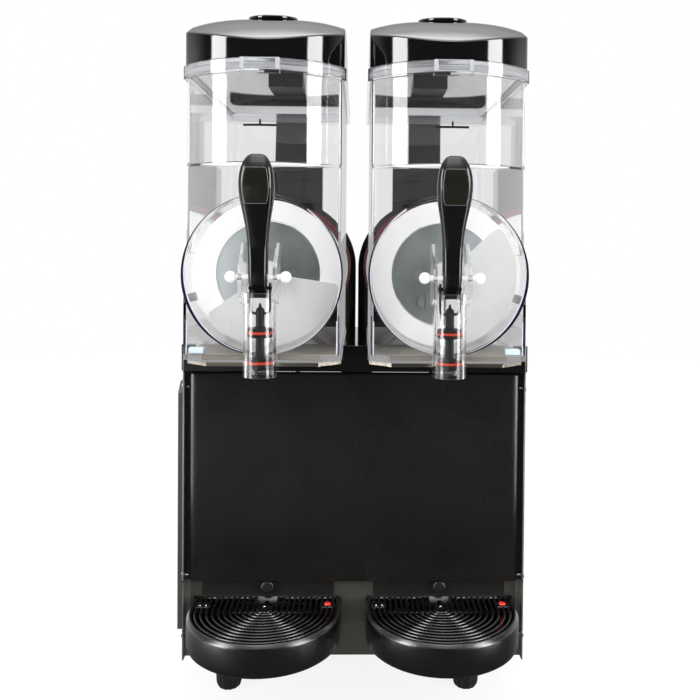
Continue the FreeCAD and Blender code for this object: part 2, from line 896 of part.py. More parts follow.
def make_refrigerant_lines():
    """Copper lines from the compressor to the condenser and up through the deck to both cold drums."""
    floor = SIZES["floor_gap"] + SIZES["sheet"]
    x, y = COMPRESSOR
    port = floor + PORT_TOP
    second = x + PORT_OFFSETS[1]
    inlet = CONDENSER[2] + 2.0
    under_deck = SIZES["deck_top"] - SIZES["deck_skin"] - 4.0
    runs = [
        [
            (x, y, port), (x, y, port + 60.0), (-110.0, y, port + 60.0), (-110.0, y, floor + 258.0),
            (inlet, y, floor + 258.0),
        ],
        [
            (inlet, 95.0, floor + 20.0), (DRYER_SIDE, 95.0, floor + 20.0),
            (DRYER_SIDE, LINE_BACK, floor + 20.0), (DRYER_SIDE, LINE_BACK, floor + DRYER_LOW),
        ],
        [
            (DRYER_SIDE, LINE_BACK, floor + DRYER_LOW + DRYER_CAN + 2 * DRYER_END),
            (DRYER_SIDE, LINE_BACK, under_deck),
        ],
        [
            (second, y, port), (second, y, floor + 230.0), (second, LINE_BACK, floor + 230.0),
            (second, LINE_BACK, under_deck),
        ],
    ]
    item = new("Part::Feature", "refrigerant_lines")
    item.Shape = Part.Compound([bent_tube(points, LINE_BEND, LINE_RADIUS) for points in runs])
    node("refrigerant_lines", item)


def make_filter_dryer():
    floor = size("floor_gap") + size("sheet") + DRYER_LOW
    neck = LINE_RADIUS + 0.4
    low = cone("dryer_low", "z", (DRYER_SIDE, LINE_BACK, floor), neck, DRYER_RADIUS, DRYER_END)
    can = rod("dryer_can", "z", (DRYER_SIDE, LINE_BACK, floor + DRYER_END), DRYER_RADIUS, DRYER_CAN)
    high = cone("dryer_high", "z", (DRYER_SIDE, LINE_BACK, floor + DRYER_END + DRYER_CAN), DRYER_RADIUS, neck, DRYER_END)
    node("filter_dryer", fuse("filter_dryer", low, can, high))


def make_electrical_box():
    back = size("body_back") - size("sheet")
    case = box("electrical_case", (40.0, back - 50.0, 230.0), (160.0, back, 340.0))
    cover = box("electrical_cover", (37.0, back - 53.0, 227.0), (163.0, back - 48.0, 343.0))
    node("electrical_box", fuse("electrical_box", case, cover))


# Bowls

def plan_loop(sketch, half, front, shoulder, back, corner):
    """Plan of tank, collar and lid: straight sides, bowed front, rounded back corners."""
    depth = front - shoulder
    radius = (half * half + depth * depth) / (2 * depth)
    centre = (ZERO, radius - front)
    loop(
        sketch,
        (-half, -shoulder),
        ((half, -shoulder), centre, 1),
        (half, back - corner),
        ((half - corner, back), (half - corner, back - corner), 1),
        (corner - half, back),
        ((-half, back - corner), (corner - half, back - corner), 1),
        (-half, -shoulder),
    )


def plan_body(name, middle, low, height, half, front, shoulder, back, corner):
    body = new_body(name)
    plan = sketch_on(body, "XY_Plane", low)
    plan_loop(plan, half, front, shoulder, back, corner)
    pad(body, plan, height)
    put(body, middle, 0, 0)
    return body


def bow_front():
    return size("bow_shoulder") + size("bow_depth")


def make_bowl(side, middle):
    """The clear moulding: drum, tank, collar, base plate, tap tube and ears."""
    wall = size("wall")
    axis = size("drum_height")
    front = -size("drum_front")
    back = size("drum_back")
    radius = size("drum_radius")
    half = size("tank_half")
    corner = size("tank_round")
    tank_back = size("tank_back")
    bow = bow_front()
    shoulder = size("bow_shoulder")
    step = size("collar_step")
    ledge = size("ledge_height")
    collar = size("collar_bottom")
    collar_top = size("collar_top")
    collar_wall = size("collar_wall")
    name = f"{side}_bowl"

    drum = rod(name + "_drum", "y", (middle, front, axis), radius, back - front)
    flange = rod(name + "_flange", "y", (middle, back - 6.0, axis), size("flange_radius"), 6.0)
    lower = plan_body(
        name + "_lower", middle, axis, ledge + wall - axis, half, size("tank_front"),
        size("tank_front") - 10.0, tank_back, corner,
    )
    upper = plan_body(name + "_upper", middle, ledge, collar - ledge + 1.0, half, bow, shoulder, tank_back, corner)
    rim = plan_body(
        name + "_rim", middle, collar, collar_top - collar, half + step, bow + step, shoulder,
        tank_back + wall, corner,
    )
    skirts = []
    for sign in (-1, 1):
        outer = middle + half * sign
        inner = outer - wall * sign
        a, b = sorted((outer, inner), key=number_of)
        skirts.append(
            box(f"{name}_skirt_{sign + 1}", (a, front, size("base_bottom") + 2.0), (b, back - 30.0, axis - 18.0))
        )
    base = make_base_plate(name + "_base", middle)

    tap_y = -size("tap_forward")
    tap_outer = size("tap_bore") + size("tap_wall")
    tube = rod(name + "_tube", "z", (middle, tap_y, size("tap_bottom")), tap_outer, size("tap_top") - size("tap_bottom"))
    bridge = box(
        name + "_bridge",
        (middle - tap_outer + 2.0, tap_y, size("port_height") - 12.0),
        (middle + tap_outer - 2.0, front + 1.0, size("tap_top")),
    )
    ears = []
    pivot = (-size("pivot_forward"), size("pivot_height"))
    ear_half = size("ear_half")
    ear_low = size("tap_top") - 12.0
    for sign in (-1, 1):
        outer = middle + ear_half * sign
        inner = outer - size("ear_wall") * sign
        a, b = sorted((outer, inner), key=number_of)
        ear = new_body(f"{name}_ear_{sign + 1}")
        outline = sketch_on(ear, "YZ_Plane", a)
        reach = pivot[0] - size("ear_reach")
        loop(
            outline,
            (reach, ear_low + 8.0),
            (tap_y, ear_low),
            (front + 1.0, ear_low),
            (front + 1.0, size("ear_top")),
            (front - 12.0, size("ear_top")),
            (reach, size("pivot_height") + 10.0),
            (reach, ear_low + 8.0),
        )
        pad(ear, outline, b - a)
        ears.append(ear)
    clip_half = size("clip_half")
    clip = box(
        name + "_clip",
        (middle - clip_half, -(bow + step + 2.5), collar - 2.0),
        (middle + clip_half, -(bow + step - 6.0), collar_top),
    )
    solid = fuse(name + "_solid", drum, flange, lower, upper, rim, *skirts, base, tube, bridge, *ears, clip)

    drum_hollow = rod(name + "_drum_hollow", "y", (middle, front + wall, axis), radius - wall, back - front)
    lower_hollow = plan_body(
        name + "_lower_hollow", middle, axis, ledge + 2 * wall - axis, half - wall, size("tank_front") - wall,
        size("tank_front") - 10.0 - wall, tank_back - wall, corner - wall,
    )
    upper_hollow = plan_body(
        name + "_upper_hollow", middle, ledge + wall, collar_top - ledge, half - wall, bow - wall,
        shoulder, tank_back - wall, corner - wall,
    )
    rim_hollow = plan_body(
        name + "_rim_hollow", middle, collar + collar_wall, collar_top - collar, half + step - collar_wall,
        bow + step - collar_wall, shoulder, tank_back + wall - collar_wall, corner - collar_wall,
    )
    bore = rod(name + "_bore", "z", (middle, tap_y, size("tap_bottom") - 1.0), size("tap_bore"), 200.0)
    port = rod(name + "_port", "y", (middle, tap_y, size("port_height")), size("port_radius"), 25.0)
    gate = box(
        name + "_gate",
        (middle - ear_half + size("ear_wall"), pivot[0] - 20.0, size("tap_top")),
        (middle + ear_half - size("ear_wall"), front - 0.5, size("ear_top") + 1.0),
    )
    pin_hole = rod(
        name + "_pin_hole", "x", (middle - 30.0, *pivot), size("pin_radius") + size("running_gap"), 60.0
    )
    node(
        name,
        cut(name, solid, drum_hollow, lower_hollow, upper_hollow, rim_hollow, bore, port, gate, pin_hole),
    )


def make_base_plate(name, middle):
    """Clear base plate with cut-off front corners."""
    half = size("base_half")
    front = -size("base_front")
    body = new_body(name)
    plan = sketch_on(body, "XY_Plane", size("base_bottom"))
    loop(
        plan,
        (22.0 - half, front),
        (half - 22.0, front),
        (half, front + 20.0),
        (half, 110.0),
        (-half, 110.0),
        (-half, front + 20.0),
        (22.0 - half, front),
    )
    pad(body, plan, size("base_thickness"))
    put(body, middle, 0, 0)
    return body


def make_pin(side, middle):
    """Tap pin with a round knob on each end."""
    name = f"{side}_pivot_pin"
    y = -size("pivot_forward")
    z = size("pivot_height")
    reach = size("ball_spread") / 2
    stem = rod(name + "_stem", "x", (middle - reach, y, z), size("pin_radius"), 2 * reach)
    balls = [ball(f"{name}_ball_{sign + 1}", (middle + reach * sign, y, z), size("ball_radius")) for sign in (-1, 1)]
    node(name, fuse(name, stem, *balls))


def make_lever(side, middle):
    """Tap lever: its front view and its side view, each run through the other."""
    name = f"{side}_tap_lever"
    half = size("lever_half")
    grip = size("grip_half")
    top = size("lever_top")
    wide = size("grip_height")
    pivot_y = -size("pivot_forward")
    pivot_z = size("pivot_height")
    low = pivot_z - 9.0
    face = new_body(name + "_face")
    front = sketch_on(face, "XZ_Plane", size("pivot_forward") - 40.0)
    right = [
        (half - 0.6, low), (half, pivot_z + 18.0), (half, pivot_z + 42.0), (grip - 3.2, wide - 26.0),
        (grip, wide), (grip - 2.6, wide + 15.0), (grip - 7.5, top - 7.0), (grip - 11.5, top),
    ]
    left = [(-x, z) for x, z in reversed(right)]
    points = right + left
    loop(front, points[0], *points[1:], points[0])
    pad(face, front, 80.0)
    put(face, middle, 0, 0)
    profile = new_body(name + "_profile")
    sketch = sketch_on(profile, "YZ_Plane", -grip - 1.0)
    loop(
        sketch,
        (pivot_y - 7.5, low + 3.0),
        (pivot_y + 5.0, low),
        (pivot_y + 9.0, pivot_z),
        (pivot_y + 5.5, pivot_z + 30.0),
        (pivot_y - 2.0, wide - 20.0),
        (pivot_y - 7.0, wide + 15.0),
        (pivot_y - 14.0, top),
        (pivot_y - 19.0, top),
        (pivot_y - 26.5, wide + 22.0),
        (pivot_y - 28.0, wide),
        (pivot_y - 20.0, wide - 34.0),
        (pivot_y - 9.5, pivot_z + 30.0),
        (pivot_y - 7.5, low + 3.0),
    )
    pad(profile, sketch, 2 * grip + 2.0)
    put(profile, middle, 0, 0)
    handle = common(name + "_handle", face, profile)
    hook_y = -size("tap_forward")
    hook_z = size("hook_height")
    nose = box(
        name + "_nose",
        (middle - 7.0, pivot_y, hook_z - size("hook_radius")),
        (middle + 7.0, hook_y + size("hook_radius"), hook_z + 7.0),
    )
    tongue_half = size("tongue_half")
    tongue = box(
        name + "_tongue",
        (middle - tongue_half, hook_y - 9.5, size("tongue_bottom")),
        (middle + tongue_half, hook_y + size("hook_radius"), hook_z + 4.0),
    )
    peg = rod(name + "_peg", "x", (middle - 12.5, hook_y, hook_z), size("hook_radius"), 25.0)
    bore = rod(
        name + "_bore", "x", (middle - 25.0, pivot_y, pivot_z), size("pin_radius") + size("running_gap"), 50.0
    )
    node(name, cut(name, fuse(name + "_solid", handle, nose, tongue, peg), bore))


def make_piston(side, middle):
    """Tap piston: two discs on a rod, under a fork that the lever's peg lifts."""
    name = f"{side}_tap_piston"
    y = -size("tap_forward")
    lower = size("lower_seal")
    upper = size("upper_seal")
    groove = size("seal_thickness") / 2
    radius = size("disc_radius")
    fork_low = size("hook_height") - 28.0
    parts = [
        rod(name + "_rod", "z", (middle, y, lower - 5.0), size("rod_radius"), fork_low + 1.0 - lower + 5.0),
        rod(name + "_lower_disc", "z", (middle, y, lower - 6.6), radius, 12.0),
        rod(name + "_upper_disc", "z", (middle, y, upper - 5.0), radius, 10.0),
        box(name + "_cross", (middle - 11.6, y - 4.0, fork_low), (middle + 11.6, y + 4.0, fork_low + 4.0)),
    ]
    for sign in (-1, 1):
        a, b = sorted((middle + 11.6 * sign, middle + 9.0 * sign), key=number_of)
        parts.append(
            box(f"{name}_arm_{sign + 1}", (a, y - 4.0, fork_low), (b, y + 7.6, size("hook_height") + 5.5))
        )
    grooves = []
    inner = radius - 2.6
    for number, height in enumerate((lower, upper)):
        band = rod(f"{name}_band_{number}", "z", (middle, y, height - groove), radius + 1.0, 2 * groove)
        core = rod(f"{name}_core_{number}", "z", (middle, y, height - groove - 1.0), inner, 2 * groove + 2.0)
        grooves.append(cut(f"{name}_groove_{number}", band, core))
    play = size("hook_radius") + 0.9
    slot = box(
        name + "_slot",
        (middle - 14.0, y - 3.0, size("hook_height") - play),
        (middle + 14.0, y + 6.5, size("hook_height") + play),
    )
    node(name, cut(name, fuse(name + "_solid", *parts), *grooves, slot))
    rings = []
    for number, height in enumerate((lower, upper)):
        band = rod(f"{name}_seal_{number}", "z", (middle, y, height - groove), size("seal_radius"), 2 * groove)
        hole = rod(f"{name}_seal_hole_{number}", "z", (middle, y, height - groove - 1.0), inner, 2 * groove + 2.0)
        rings.append(cut(f"{name}_ring_{number}", band, hole))
    node(f"{side}_piston_seals", group(f"{side}_piston_seals", rings))


# Cold drum, auger and drive

def make_evaporator(side, middle):
    name = f"{side}_evaporator"
    axis = size("drum_height")
    front = -size("cold_front")
    back = size("housing_front")
    radius = size("cold_radius")
    skin = 2.0
    outer = rod(name + "_outer", "y", (middle, front, axis), radius, back - front)
    hollow = rod(name + "_hollow", "y", (middle, front + skin, axis), radius - skin, back - front)
    shell = cut(name + "_shell", outer, hollow)
    tube = rod(name + "_tube", "y", (middle, front, axis), size("shaft_radius") + 4.0, back - front)
    plate = rod(name + "_plate", "y", (middle, back - 4.0, axis), size("drum_radius") - size("wall") - 1.0, 4.0)
    turn = math.radians(PLUG_TURN)
    plug = (middle + PLUG_REACH * math.cos(turn), front - 3.0, axis + PLUG_REACH * math.sin(turn))
    cap = rod(name + "_cap", "y", plug, 8.0, 4.0)
    groove = box(
        name + "_cap_groove",
        (plug[0] - 1.0, front - 4.0, plug[2] - 9.0),
        (plug[0] + 1.0, front - 1.5, plug[2] + 9.0),
    )
    bore = rod(
        name + "_bore", "y", (middle, front - 1.0, axis), size("shaft_radius") + size("running_gap"),
        back - front + 2.0,
    )
    node(name, cut(name, fuse(name + "_solid", shell, tube, plate, cap), groove, bore))


def make_auger(side, middle, turn):
    """White screw round the cold drum, with a scraping fan in front of the drum's face."""
    name = f"{side}_auger"
    inner = size("cold_radius") + size("auger_gap")
    outer = size("auger_radius")
    plate = size("fan_plate")
    front = -(size("cold_front") + size("fan_gap") + plate)
    screw = new_body(name + "_screw")
    profile = sketch_on(screw, "XY_Plane", 0)
    rectangle(profile, (inner, front), (outer, front + size("auger_thickness")))
    helix = screw.newObject("PartDesign::AdditiveHelix", name + "_helix")
    helix.Profile = profile
    helix.ReferenceAxis = (profile, ["V_Axis"])
    helix.Mode = "pitch-turns-angle"
    bind(helix, "Pitch", size("auger_pitch"))
    bind(helix, "Turns", size("auger_turns"))
    doc.recompute()
    fan = new_body(name + "_fan")
    face = sketch_on(fan, "XZ_Plane", -front)
    half = math.radians(FAN_SPREAD / 2)
    low = (outer * math.cos(half), -(outer * math.sin(half)))
    high = (outer * math.cos(half), outer * math.sin(half))
    loop(face, (0.0, 0.0), low, (high, (0.0, 0.0), 1), (0.0, 0.0))
    pad(fan, face, plate, flip=True)
    ring_front = -(size("cold_front") + size("ring_gap") + size("auger_thickness"))
    band = rod(name + "_band", "y", (0.0, ring_front, 0.0), outer, size("auger_thickness"))
    band_hole = rod(name + "_band_hole", "y", (0.0, ring_front - 1.0, 0.0), inner, size("auger_thickness") + 2.0)
    ring = cut(name + "_ring", band, band_hole)
    hub = rod(name + "_hub", "y", (0.0, front - 12.0, 0.0), 15.0, 12.0 + plate)
    tip = cone(name + "_tip", "y", (0.0, front - 20.0, 0.0), 8.0, 14.0, 8.0)
    bore = rod(
        name + "_bore", "y", (0.0, front - 10.0, 0.0), size("shaft_radius") + size("running_gap"), 30.0
    )
    whole = cut(name, fuse(name + "_solid", screw, ring, fan, hub, tip), bore)
    put(whole, middle, 0, size("drum_height"), axis=(0, 1, 0), angle=-turn)
    node(name, whole)
    shaft = f"{side}_drive_shaft"
    gearbox = size("housing_front") + size("wall")
    start = front - 10.0 + size("seat_gap")
    node(
        shaft,
        rod(shaft, "y", (middle, start, size("drum_height")), size("shaft_radius"), gearbox + 12.0 - start),
    )


def make_gasket(side, middle):
    name = f"{side}_bowl_gasket"
    axis = size("drum_height")
    front = size("drum_back") + size("seat_gap")
    depth = size("housing_front") - front
    ring = rod(name + "_ring", "y", (middle, front, axis), size("flange_radius") + 0.5, depth)
    hole = rod(
        name + "_hole", "y", (middle, front - 1.0, axis), size("drum_radius") - size("wall"), depth + 2.0
    )
    node(name, cut(name, ring, hole))


def make_housing(side, middle):
    """Black shell behind the bowl, with the lamp column on top of it."""
    name = f"{side}_rear_housing"
    axis = size("drum_height")
    front = size("housing_front")
    back = size("housing_back")
    radius = size("housing_radius")
    floor = size("deck_top")
    wall = size("wall")
    neck = size("neck_half")
    neck_back = size("column_front") + size("column_depth")
    column = size("column_half")
    arch = rod(name + "_arch", "y", (middle, front, axis), radius, back - front)
    stand = box(name + "_stand", (middle - radius, front, floor), (middle + radius, back, axis))
    throat = box(name + "_neck", (middle - neck, front, axis), (middle + neck, neck_back, size("neck_top")))
    post = box(
        name + "_post",
        (middle - column, size("column_front"), axis),
        (middle + column, neck_back, size("column_top")),
    )
    solid = fuse(name + "_solid", arch, stand, throat, post)
    arch_hollow = rod(
        name + "_arch_hollow", "y", (middle, front + wall, axis), radius - wall, back - front - 2 * wall
    )
    stand_hollow = box(
        name + "_stand_hollow",
        (middle - radius + wall, front + wall, floor - 1.0),
        (middle + radius - wall, back - wall, axis),
    )
    post_hollow = box(
        name + "_post_hollow",
        (middle - column + wall, size("column_front") + wall, axis),
        (middle + column - wall, neck_back - wall, size("column_top") - wall),
    )
    shaft_hole = rod(name + "_shaft_hole", "y", (middle, front - 1.0, axis), size("shaft_radius") + 1.0, wall + 2.0)
    node(name, cut(name, solid, arch_hollow, stand_hollow, post_hollow, shaft_hole))


def make_gear_motor(side, middle):
    name = f"{side}_gear_motor"
    axis = size("drum_height")
    front = size("housing_front") + size("wall")
    boss = rod(name + "_boss", "y", (middle, front, axis), 14.0, 12.0)
    gears = box(name + "_gears", (middle - 46.0, front + 8.0, axis - 60.0), (middle + 46.0, front + 42.0, axis + 34.0))
    can = rod(name + "_can", "y", (middle, front + 40.0, axis - 14.0), 36.0, 40.0)
    feet = box(
        name + "_bracket", (middle - 40.0, front, axis - 58.0), (middle + 40.0, front + 9.0, axis - 30.0)
    )
    bore = rod(
        name + "_bore", "y", (middle, front - 1.0, axis), size("shaft_radius") + size("running_gap"), 14.0
    )
    node(name, cut(name, fuse(name + "_solid", boss, gears, can, feet), bore))


def make_condensate_tray(side, middle):
    """Stainless tray that juts out under the bowl's front."""
    name = f"{side}_condensate_tray"
    half = size("base_half") - 0.5
    front = -(size("tap_forward") - size("tap_bore") - size("tap_wall") - 1.5)
    back = -(size("deck_front") - size("lip_depth") - 10.0)
    floor = size("deck_top")
    height = size("base_bottom") - size("seat_gap") - floor
    body = new_body(name)
    plan = sketch_on(body, "XY_Plane", floor)
    edge = 1.2
    loop(
        plan, (24.0 - half, front), (half - 24.0, front), (half, front + 21.0), (half, back), (-half, back),
        (-half, front + 21.0), (24.0 - half, front),
    )
    pad(body, plan, height)
    well = sketch_on(body, "XY_Plane", floor + height)
    loop(
        well, (25.0 - half, front + edge), (half - 25.0, front + edge), (half - edge, front + 21.6),
        (half - edge, back - edge), (edge - half, back - edge), (edge - half, front + 21.6),
        (25.0 - half, front + edge),
    )
    pocket(body, well, height - edge)
    put(body, middle, 0, 0)
    node(name, body)


# Lids

def lid_form(name, middle, low, inset):
    """The lid's outside, or its hollow when inset by the skin."""
    gap = size("seat_gap")
    half = size("tank_half") + size("collar_step") - size("collar_wall") - gap - inset
    front = bow_front() + size("collar_step") - size("collar_wall") - gap - inset
    shoulder = size("bow_shoulder")
    back = size("tank_back") + size("wall") - size("collar_wall") - gap - inset
    crown = size("lid_crown") - inset
    drop = size("lid_crown") - size("lid_edge")
    reach = (bow_front() + size("tank_back")) / 2
    radius = (reach * reach + drop * drop) / (2 * drop)
    prism = plan_body(
        name + "_prism", middle, low, crown + 5.0 - low, half, front, shoulder, back, size("tank_round") - inset
    )
    dome = ball(name + "_dome", (middle, (size("tank_back") - bow_front()) / 2, crown - radius), radius)
    shape = common(name + "_form", prism, dome)
    doc.recompute()
    edges = []
    for number, edge in enumerate(shape.Shape.Edges, start=1):
        if edge.BoundBox.ZMin > SIZES["lid_edge"] - 30.0:
            edges.append(number)
    rounded = new("Part::Fillet", name + "_rounded")
    rounded.Base = shape
    bend = number_of(size("lid_round") - inset)
    rounded.Edges = [(number, bend, bend) for number in edges]
    doc.recompute()
    return rounded


def make_lid(side, middle):
    name = f"{side}_lid"
    low = size("collar_bottom") + size("collar_wall") + size("seat_gap")
    skin = size("lid_skin")
    crown = size("lid_crown")
    outside = lid_form(name + "_outside", middle, low, ZERO)
    hollow = lid_form(name + "_hollow", middle, low - 1.0, skin)
    knob_y = -size("knob_forward")
    radius = size("knob_radius")
    rise = size("knob_height")
    boss = rod(name + "_boss", "z", (middle, knob_y, crown - KNOB_ROOT), radius, KNOB_ROOT + rise - 2.0)
    cap = cone(name + "_cap", "z", (middle, knob_y, crown + rise - 2.0), radius, radius - 2.0, 2.0)
    node(name, fuse(name, cut(name + "_shell", outside, hollow), boss, cap))
    lamp = f"{side}_lid_lamp"
    half = size("lamp_half")
    back = size("tank_back") - 12.0
    space = lid_form(lamp + "_space", middle, low - 1.0, skin)
    block = box(lamp + "_block", (middle - half, back - size("lamp_depth"), LAMP_LOW), (middle + half, back, crown))
    node(lamp, common(lamp, block, space))


# Drip trays

def tray_middle():
    """How far in front of the origin the centre of the tray's round end lies."""
    return size("tray_front") - size("tray_radius")


def tray_loop(sketch, radius, back):
    centre = -tray_middle()
    loop(
        sketch,
        (-radius, back),
        (-radius, centre),
        ((radius, centre), (ZERO, centre), 1),
        (radius, back),
        (-radius, back),
    )


def make_tray(side, middle):
    name = f"{side}_drip_tray"
    radius = size("tray_radius")
    wall = size("tray_wall")
    back = -(size("plinth_front") + size("seat_gap"))
    bottom = size("tray_bottom")
    top = size("tray_top")
    body = new_body(name)
    plan = sketch_on(body, "XY_Plane", bottom)
    tray_loop(plan, radius, back)
    pad(body, plan, top - bottom)
    low = SIZES["tray_bottom"]
    round_edges(
        body, 5.0, lambda edge: abs(edge.CenterOfMass.z - low) < 0.1 and edge.CenterOfMass.y < number_of(back) - 0.1
    )
    well = sketch_on(body, "XY_Plane", top)
    tray_loop(well, radius - wall, back - wall)
    pocket(body, well, top - bottom - wall)
    ledge = sketch_on(body, "XY_Plane", top - size("grille_thickness") - size("grille_bar"))
    inner = radius - wall
    for sign in (-1, 1):
        a, b = sorted((inner * sign, (inner - 4.0) * sign), key=number_of)
        rectangle(ledge, (a, back - wall - 14.0), (b, back - wall - 2.0))
    pad(body, ledge, 3.0, flip=True)
    put(body, middle, 0, 0)
    node(name, body)
    make_grille(side, middle)
    make_float(side, middle)


def make_grille(side, middle):
    """Drip grille: bowed slots round a solid hub, with bars under the ribs."""
    name = f"{side}_tray_grille"
    gap = size("seat_gap")
    radius = size("tray_radius") - size("tray_wall") - gap
    back = -(size("plinth_front") + size("seat_gap") + size("tray_wall") + gap)
    centre = -tray_middle()
    top = size("tray_top")
    thick = size("grille_thickness")
    bar = size("grille_bar")
    body = new_body(name)
    plan = sketch_on(body, "XY_Plane", top - thick)
    tray_loop(plan, radius, back)
    pad(body, plan, thick)
    bars = sketch_on(body, "XY_Plane", top - thick - bar)
    rectangle(bars, (-2.5, centre - radius + 3.0), (2.5, back - 3.0))
    pad(body, bars, bar + 1.0)
    cross = sketch_on(body, "XY_Plane", top - thick - bar)
    rectangle(cross, (3.0 - radius, centre - 2.5), (radius - 3.0, centre + 2.5))
    pad(body, cross, bar + 1.0)
    slots = sketch_on(body, "XY_Plane", top)
    end = back - 4.0
    for number in range(SLOT_COUNT):
        outer = size("grille_hub") + size("slot_pitch") * (number + 1)
        inner = outer - size("slot_width")
        loop(
            slots,
            (-outer, end),
            (-outer, centre),
            ((outer, centre), (ZERO, centre), 1),
            (outer, end),
            (inner, end),
            (inner, centre),
            ((-inner, centre), (ZERO, centre), -1),
            (-inner, end),
            (-outer, end),
        )
    pocket(body, slots, thick)
    pads = sketch_on(body, "XY_Plane", top - thick)
    side_x = size("float_side")
    for x in (-side_x, side_x):
        rectangle(pads, (x - 9.0, FLOAT_PLACE - 7.0), (x + 9.0, FLOAT_PLACE + 7.0))
    pad(body, pads, thick)
    hole = sketch_on(body, "XY_Plane", top)
    circle(hole, (side_x, FLOAT_PLACE), size("float_radius") + size("seat_gap"))
    pocket(body, hole, thick)
    put(body, middle, 0, 0)
    node(name, body)


def make_float(side, middle):
    name = f"{side}_tray_float"
    x = middle + size("float_side")
    floor = size("tray_bottom") + size("tray_wall") + size("seat_gap")
    top = size("tray_top")
    foot = rod(name + "_foot", "z", (x, FLOAT_PLACE, floor), 8.0, 5.0)
    stem = rod(name + "_stem", "z", (x, FLOAT_PLACE, floor), size("float_radius") - 1.5, top - floor)
    button = rod(name + "_button", "z", (x, FLOAT_PLACE, top - 5.0), size("float_radius"), 7.0)
    node(name, fuse(name, foot, stem, button))


def make_cabinet():
    make_base_pan()
    make_feet()
    make_plinth_plate()
    make_front_panel()
    make_side_panel("left", -1)
    make_side_panel("right", 1)
    make_panel_screws()
    make_rear_panel()
    make_cable_gland()
    make_top_deck()
    make_filter_cover()
    make_control_panel()
    make_switches()
    make_knobs()
    make_compressor()
    make_condenser()
    make_fan()
    make_refrigerant_lines()
    make_filter_dryer()
    make_electrical_box()


def make_side(side, middle, fan_turn):
    make_housing(side, middle)
    make_gear_motor(side, middle)
    make_evaporator(side, middle)
    make_gasket(side, middle)
    make_condensate_tray(side, middle)
    make_auger(side, middle, fan_turn)
    make_bowl(side, middle)
    make_pin(side, middle)
    make_lever(side, middle)
    make_piston(side, middle)
    make_lid(side, middle)
    make_tray(side, middle)


def check_and_write():
    doc.recompute()
    for item in doc.Objects:
        if any(word in item.State for word in ("Invalid", "Error")):
            raise ValueError(f"{item.Label} failed: {item.State}")
    os.makedirs("parts", exist_ok=True)
    for item in nodes:
        shape = item.Shape
        if shape.isNull() or not shape.isValid() or shape.Volume <= 0:
            raise ValueError(f"{item.Label} has no valid shape")
        shape.exportStep(f"parts/{item.Label}.step")
        print(item.Label, len(shape.Solids), round(shape.Volume))


fill_sheet()
make_cabinet()
make_side("left", -size("bowl_spread") / 2, LEFT_FAN_TURN)
make_side("right", size("bowl_spread") / 2, RIGHT_FAN_TURN)
check_and_write()
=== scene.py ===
import math

import bmesh
import bpy
from mathutils import Matrix, Vector


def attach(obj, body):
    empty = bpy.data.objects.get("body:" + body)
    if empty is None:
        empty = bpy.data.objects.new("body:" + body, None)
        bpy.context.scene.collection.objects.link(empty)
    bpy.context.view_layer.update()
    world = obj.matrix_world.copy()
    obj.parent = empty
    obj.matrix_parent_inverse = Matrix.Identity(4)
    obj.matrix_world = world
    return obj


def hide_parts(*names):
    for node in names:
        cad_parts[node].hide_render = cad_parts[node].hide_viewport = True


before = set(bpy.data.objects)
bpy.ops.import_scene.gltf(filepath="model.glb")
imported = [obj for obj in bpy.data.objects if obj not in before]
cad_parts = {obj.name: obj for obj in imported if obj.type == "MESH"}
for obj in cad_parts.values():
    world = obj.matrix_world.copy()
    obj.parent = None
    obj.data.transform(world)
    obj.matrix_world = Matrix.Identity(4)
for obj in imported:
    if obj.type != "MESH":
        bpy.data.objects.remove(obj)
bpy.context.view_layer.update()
SIDES = {"left": -0.1005, "right": 0.1005}

# Places that several pieces share, in metres, as the frame has them.
DRUM_Z = 0.5135
TAP_Y = -0.2065
BOW_Y = -0.2155
TRAY_Y = -0.1525
FLOAT_SIDE, FLOAT_Y = 0.071, -0.142
FAN_TURNS = {"left": -77.0, "right": -27.0}

# The bowed front of the tank, a part of a circle.
BOW_HALF, BOW_DEPTH = 0.084, 0.042
BOW_RADIUS = (BOW_HALF ** 2 + BOW_DEPTH ** 2) / (2 * BOW_DEPTH)

# The soft boxes that gloss sees: how far they stand off the front, and where their edges fade.
BOX_TURN = math.radians(60.0)
BOX_EDGE = math.radians(9.0), math.radians(11.0)


# ---------------------------------------------------------------- materials

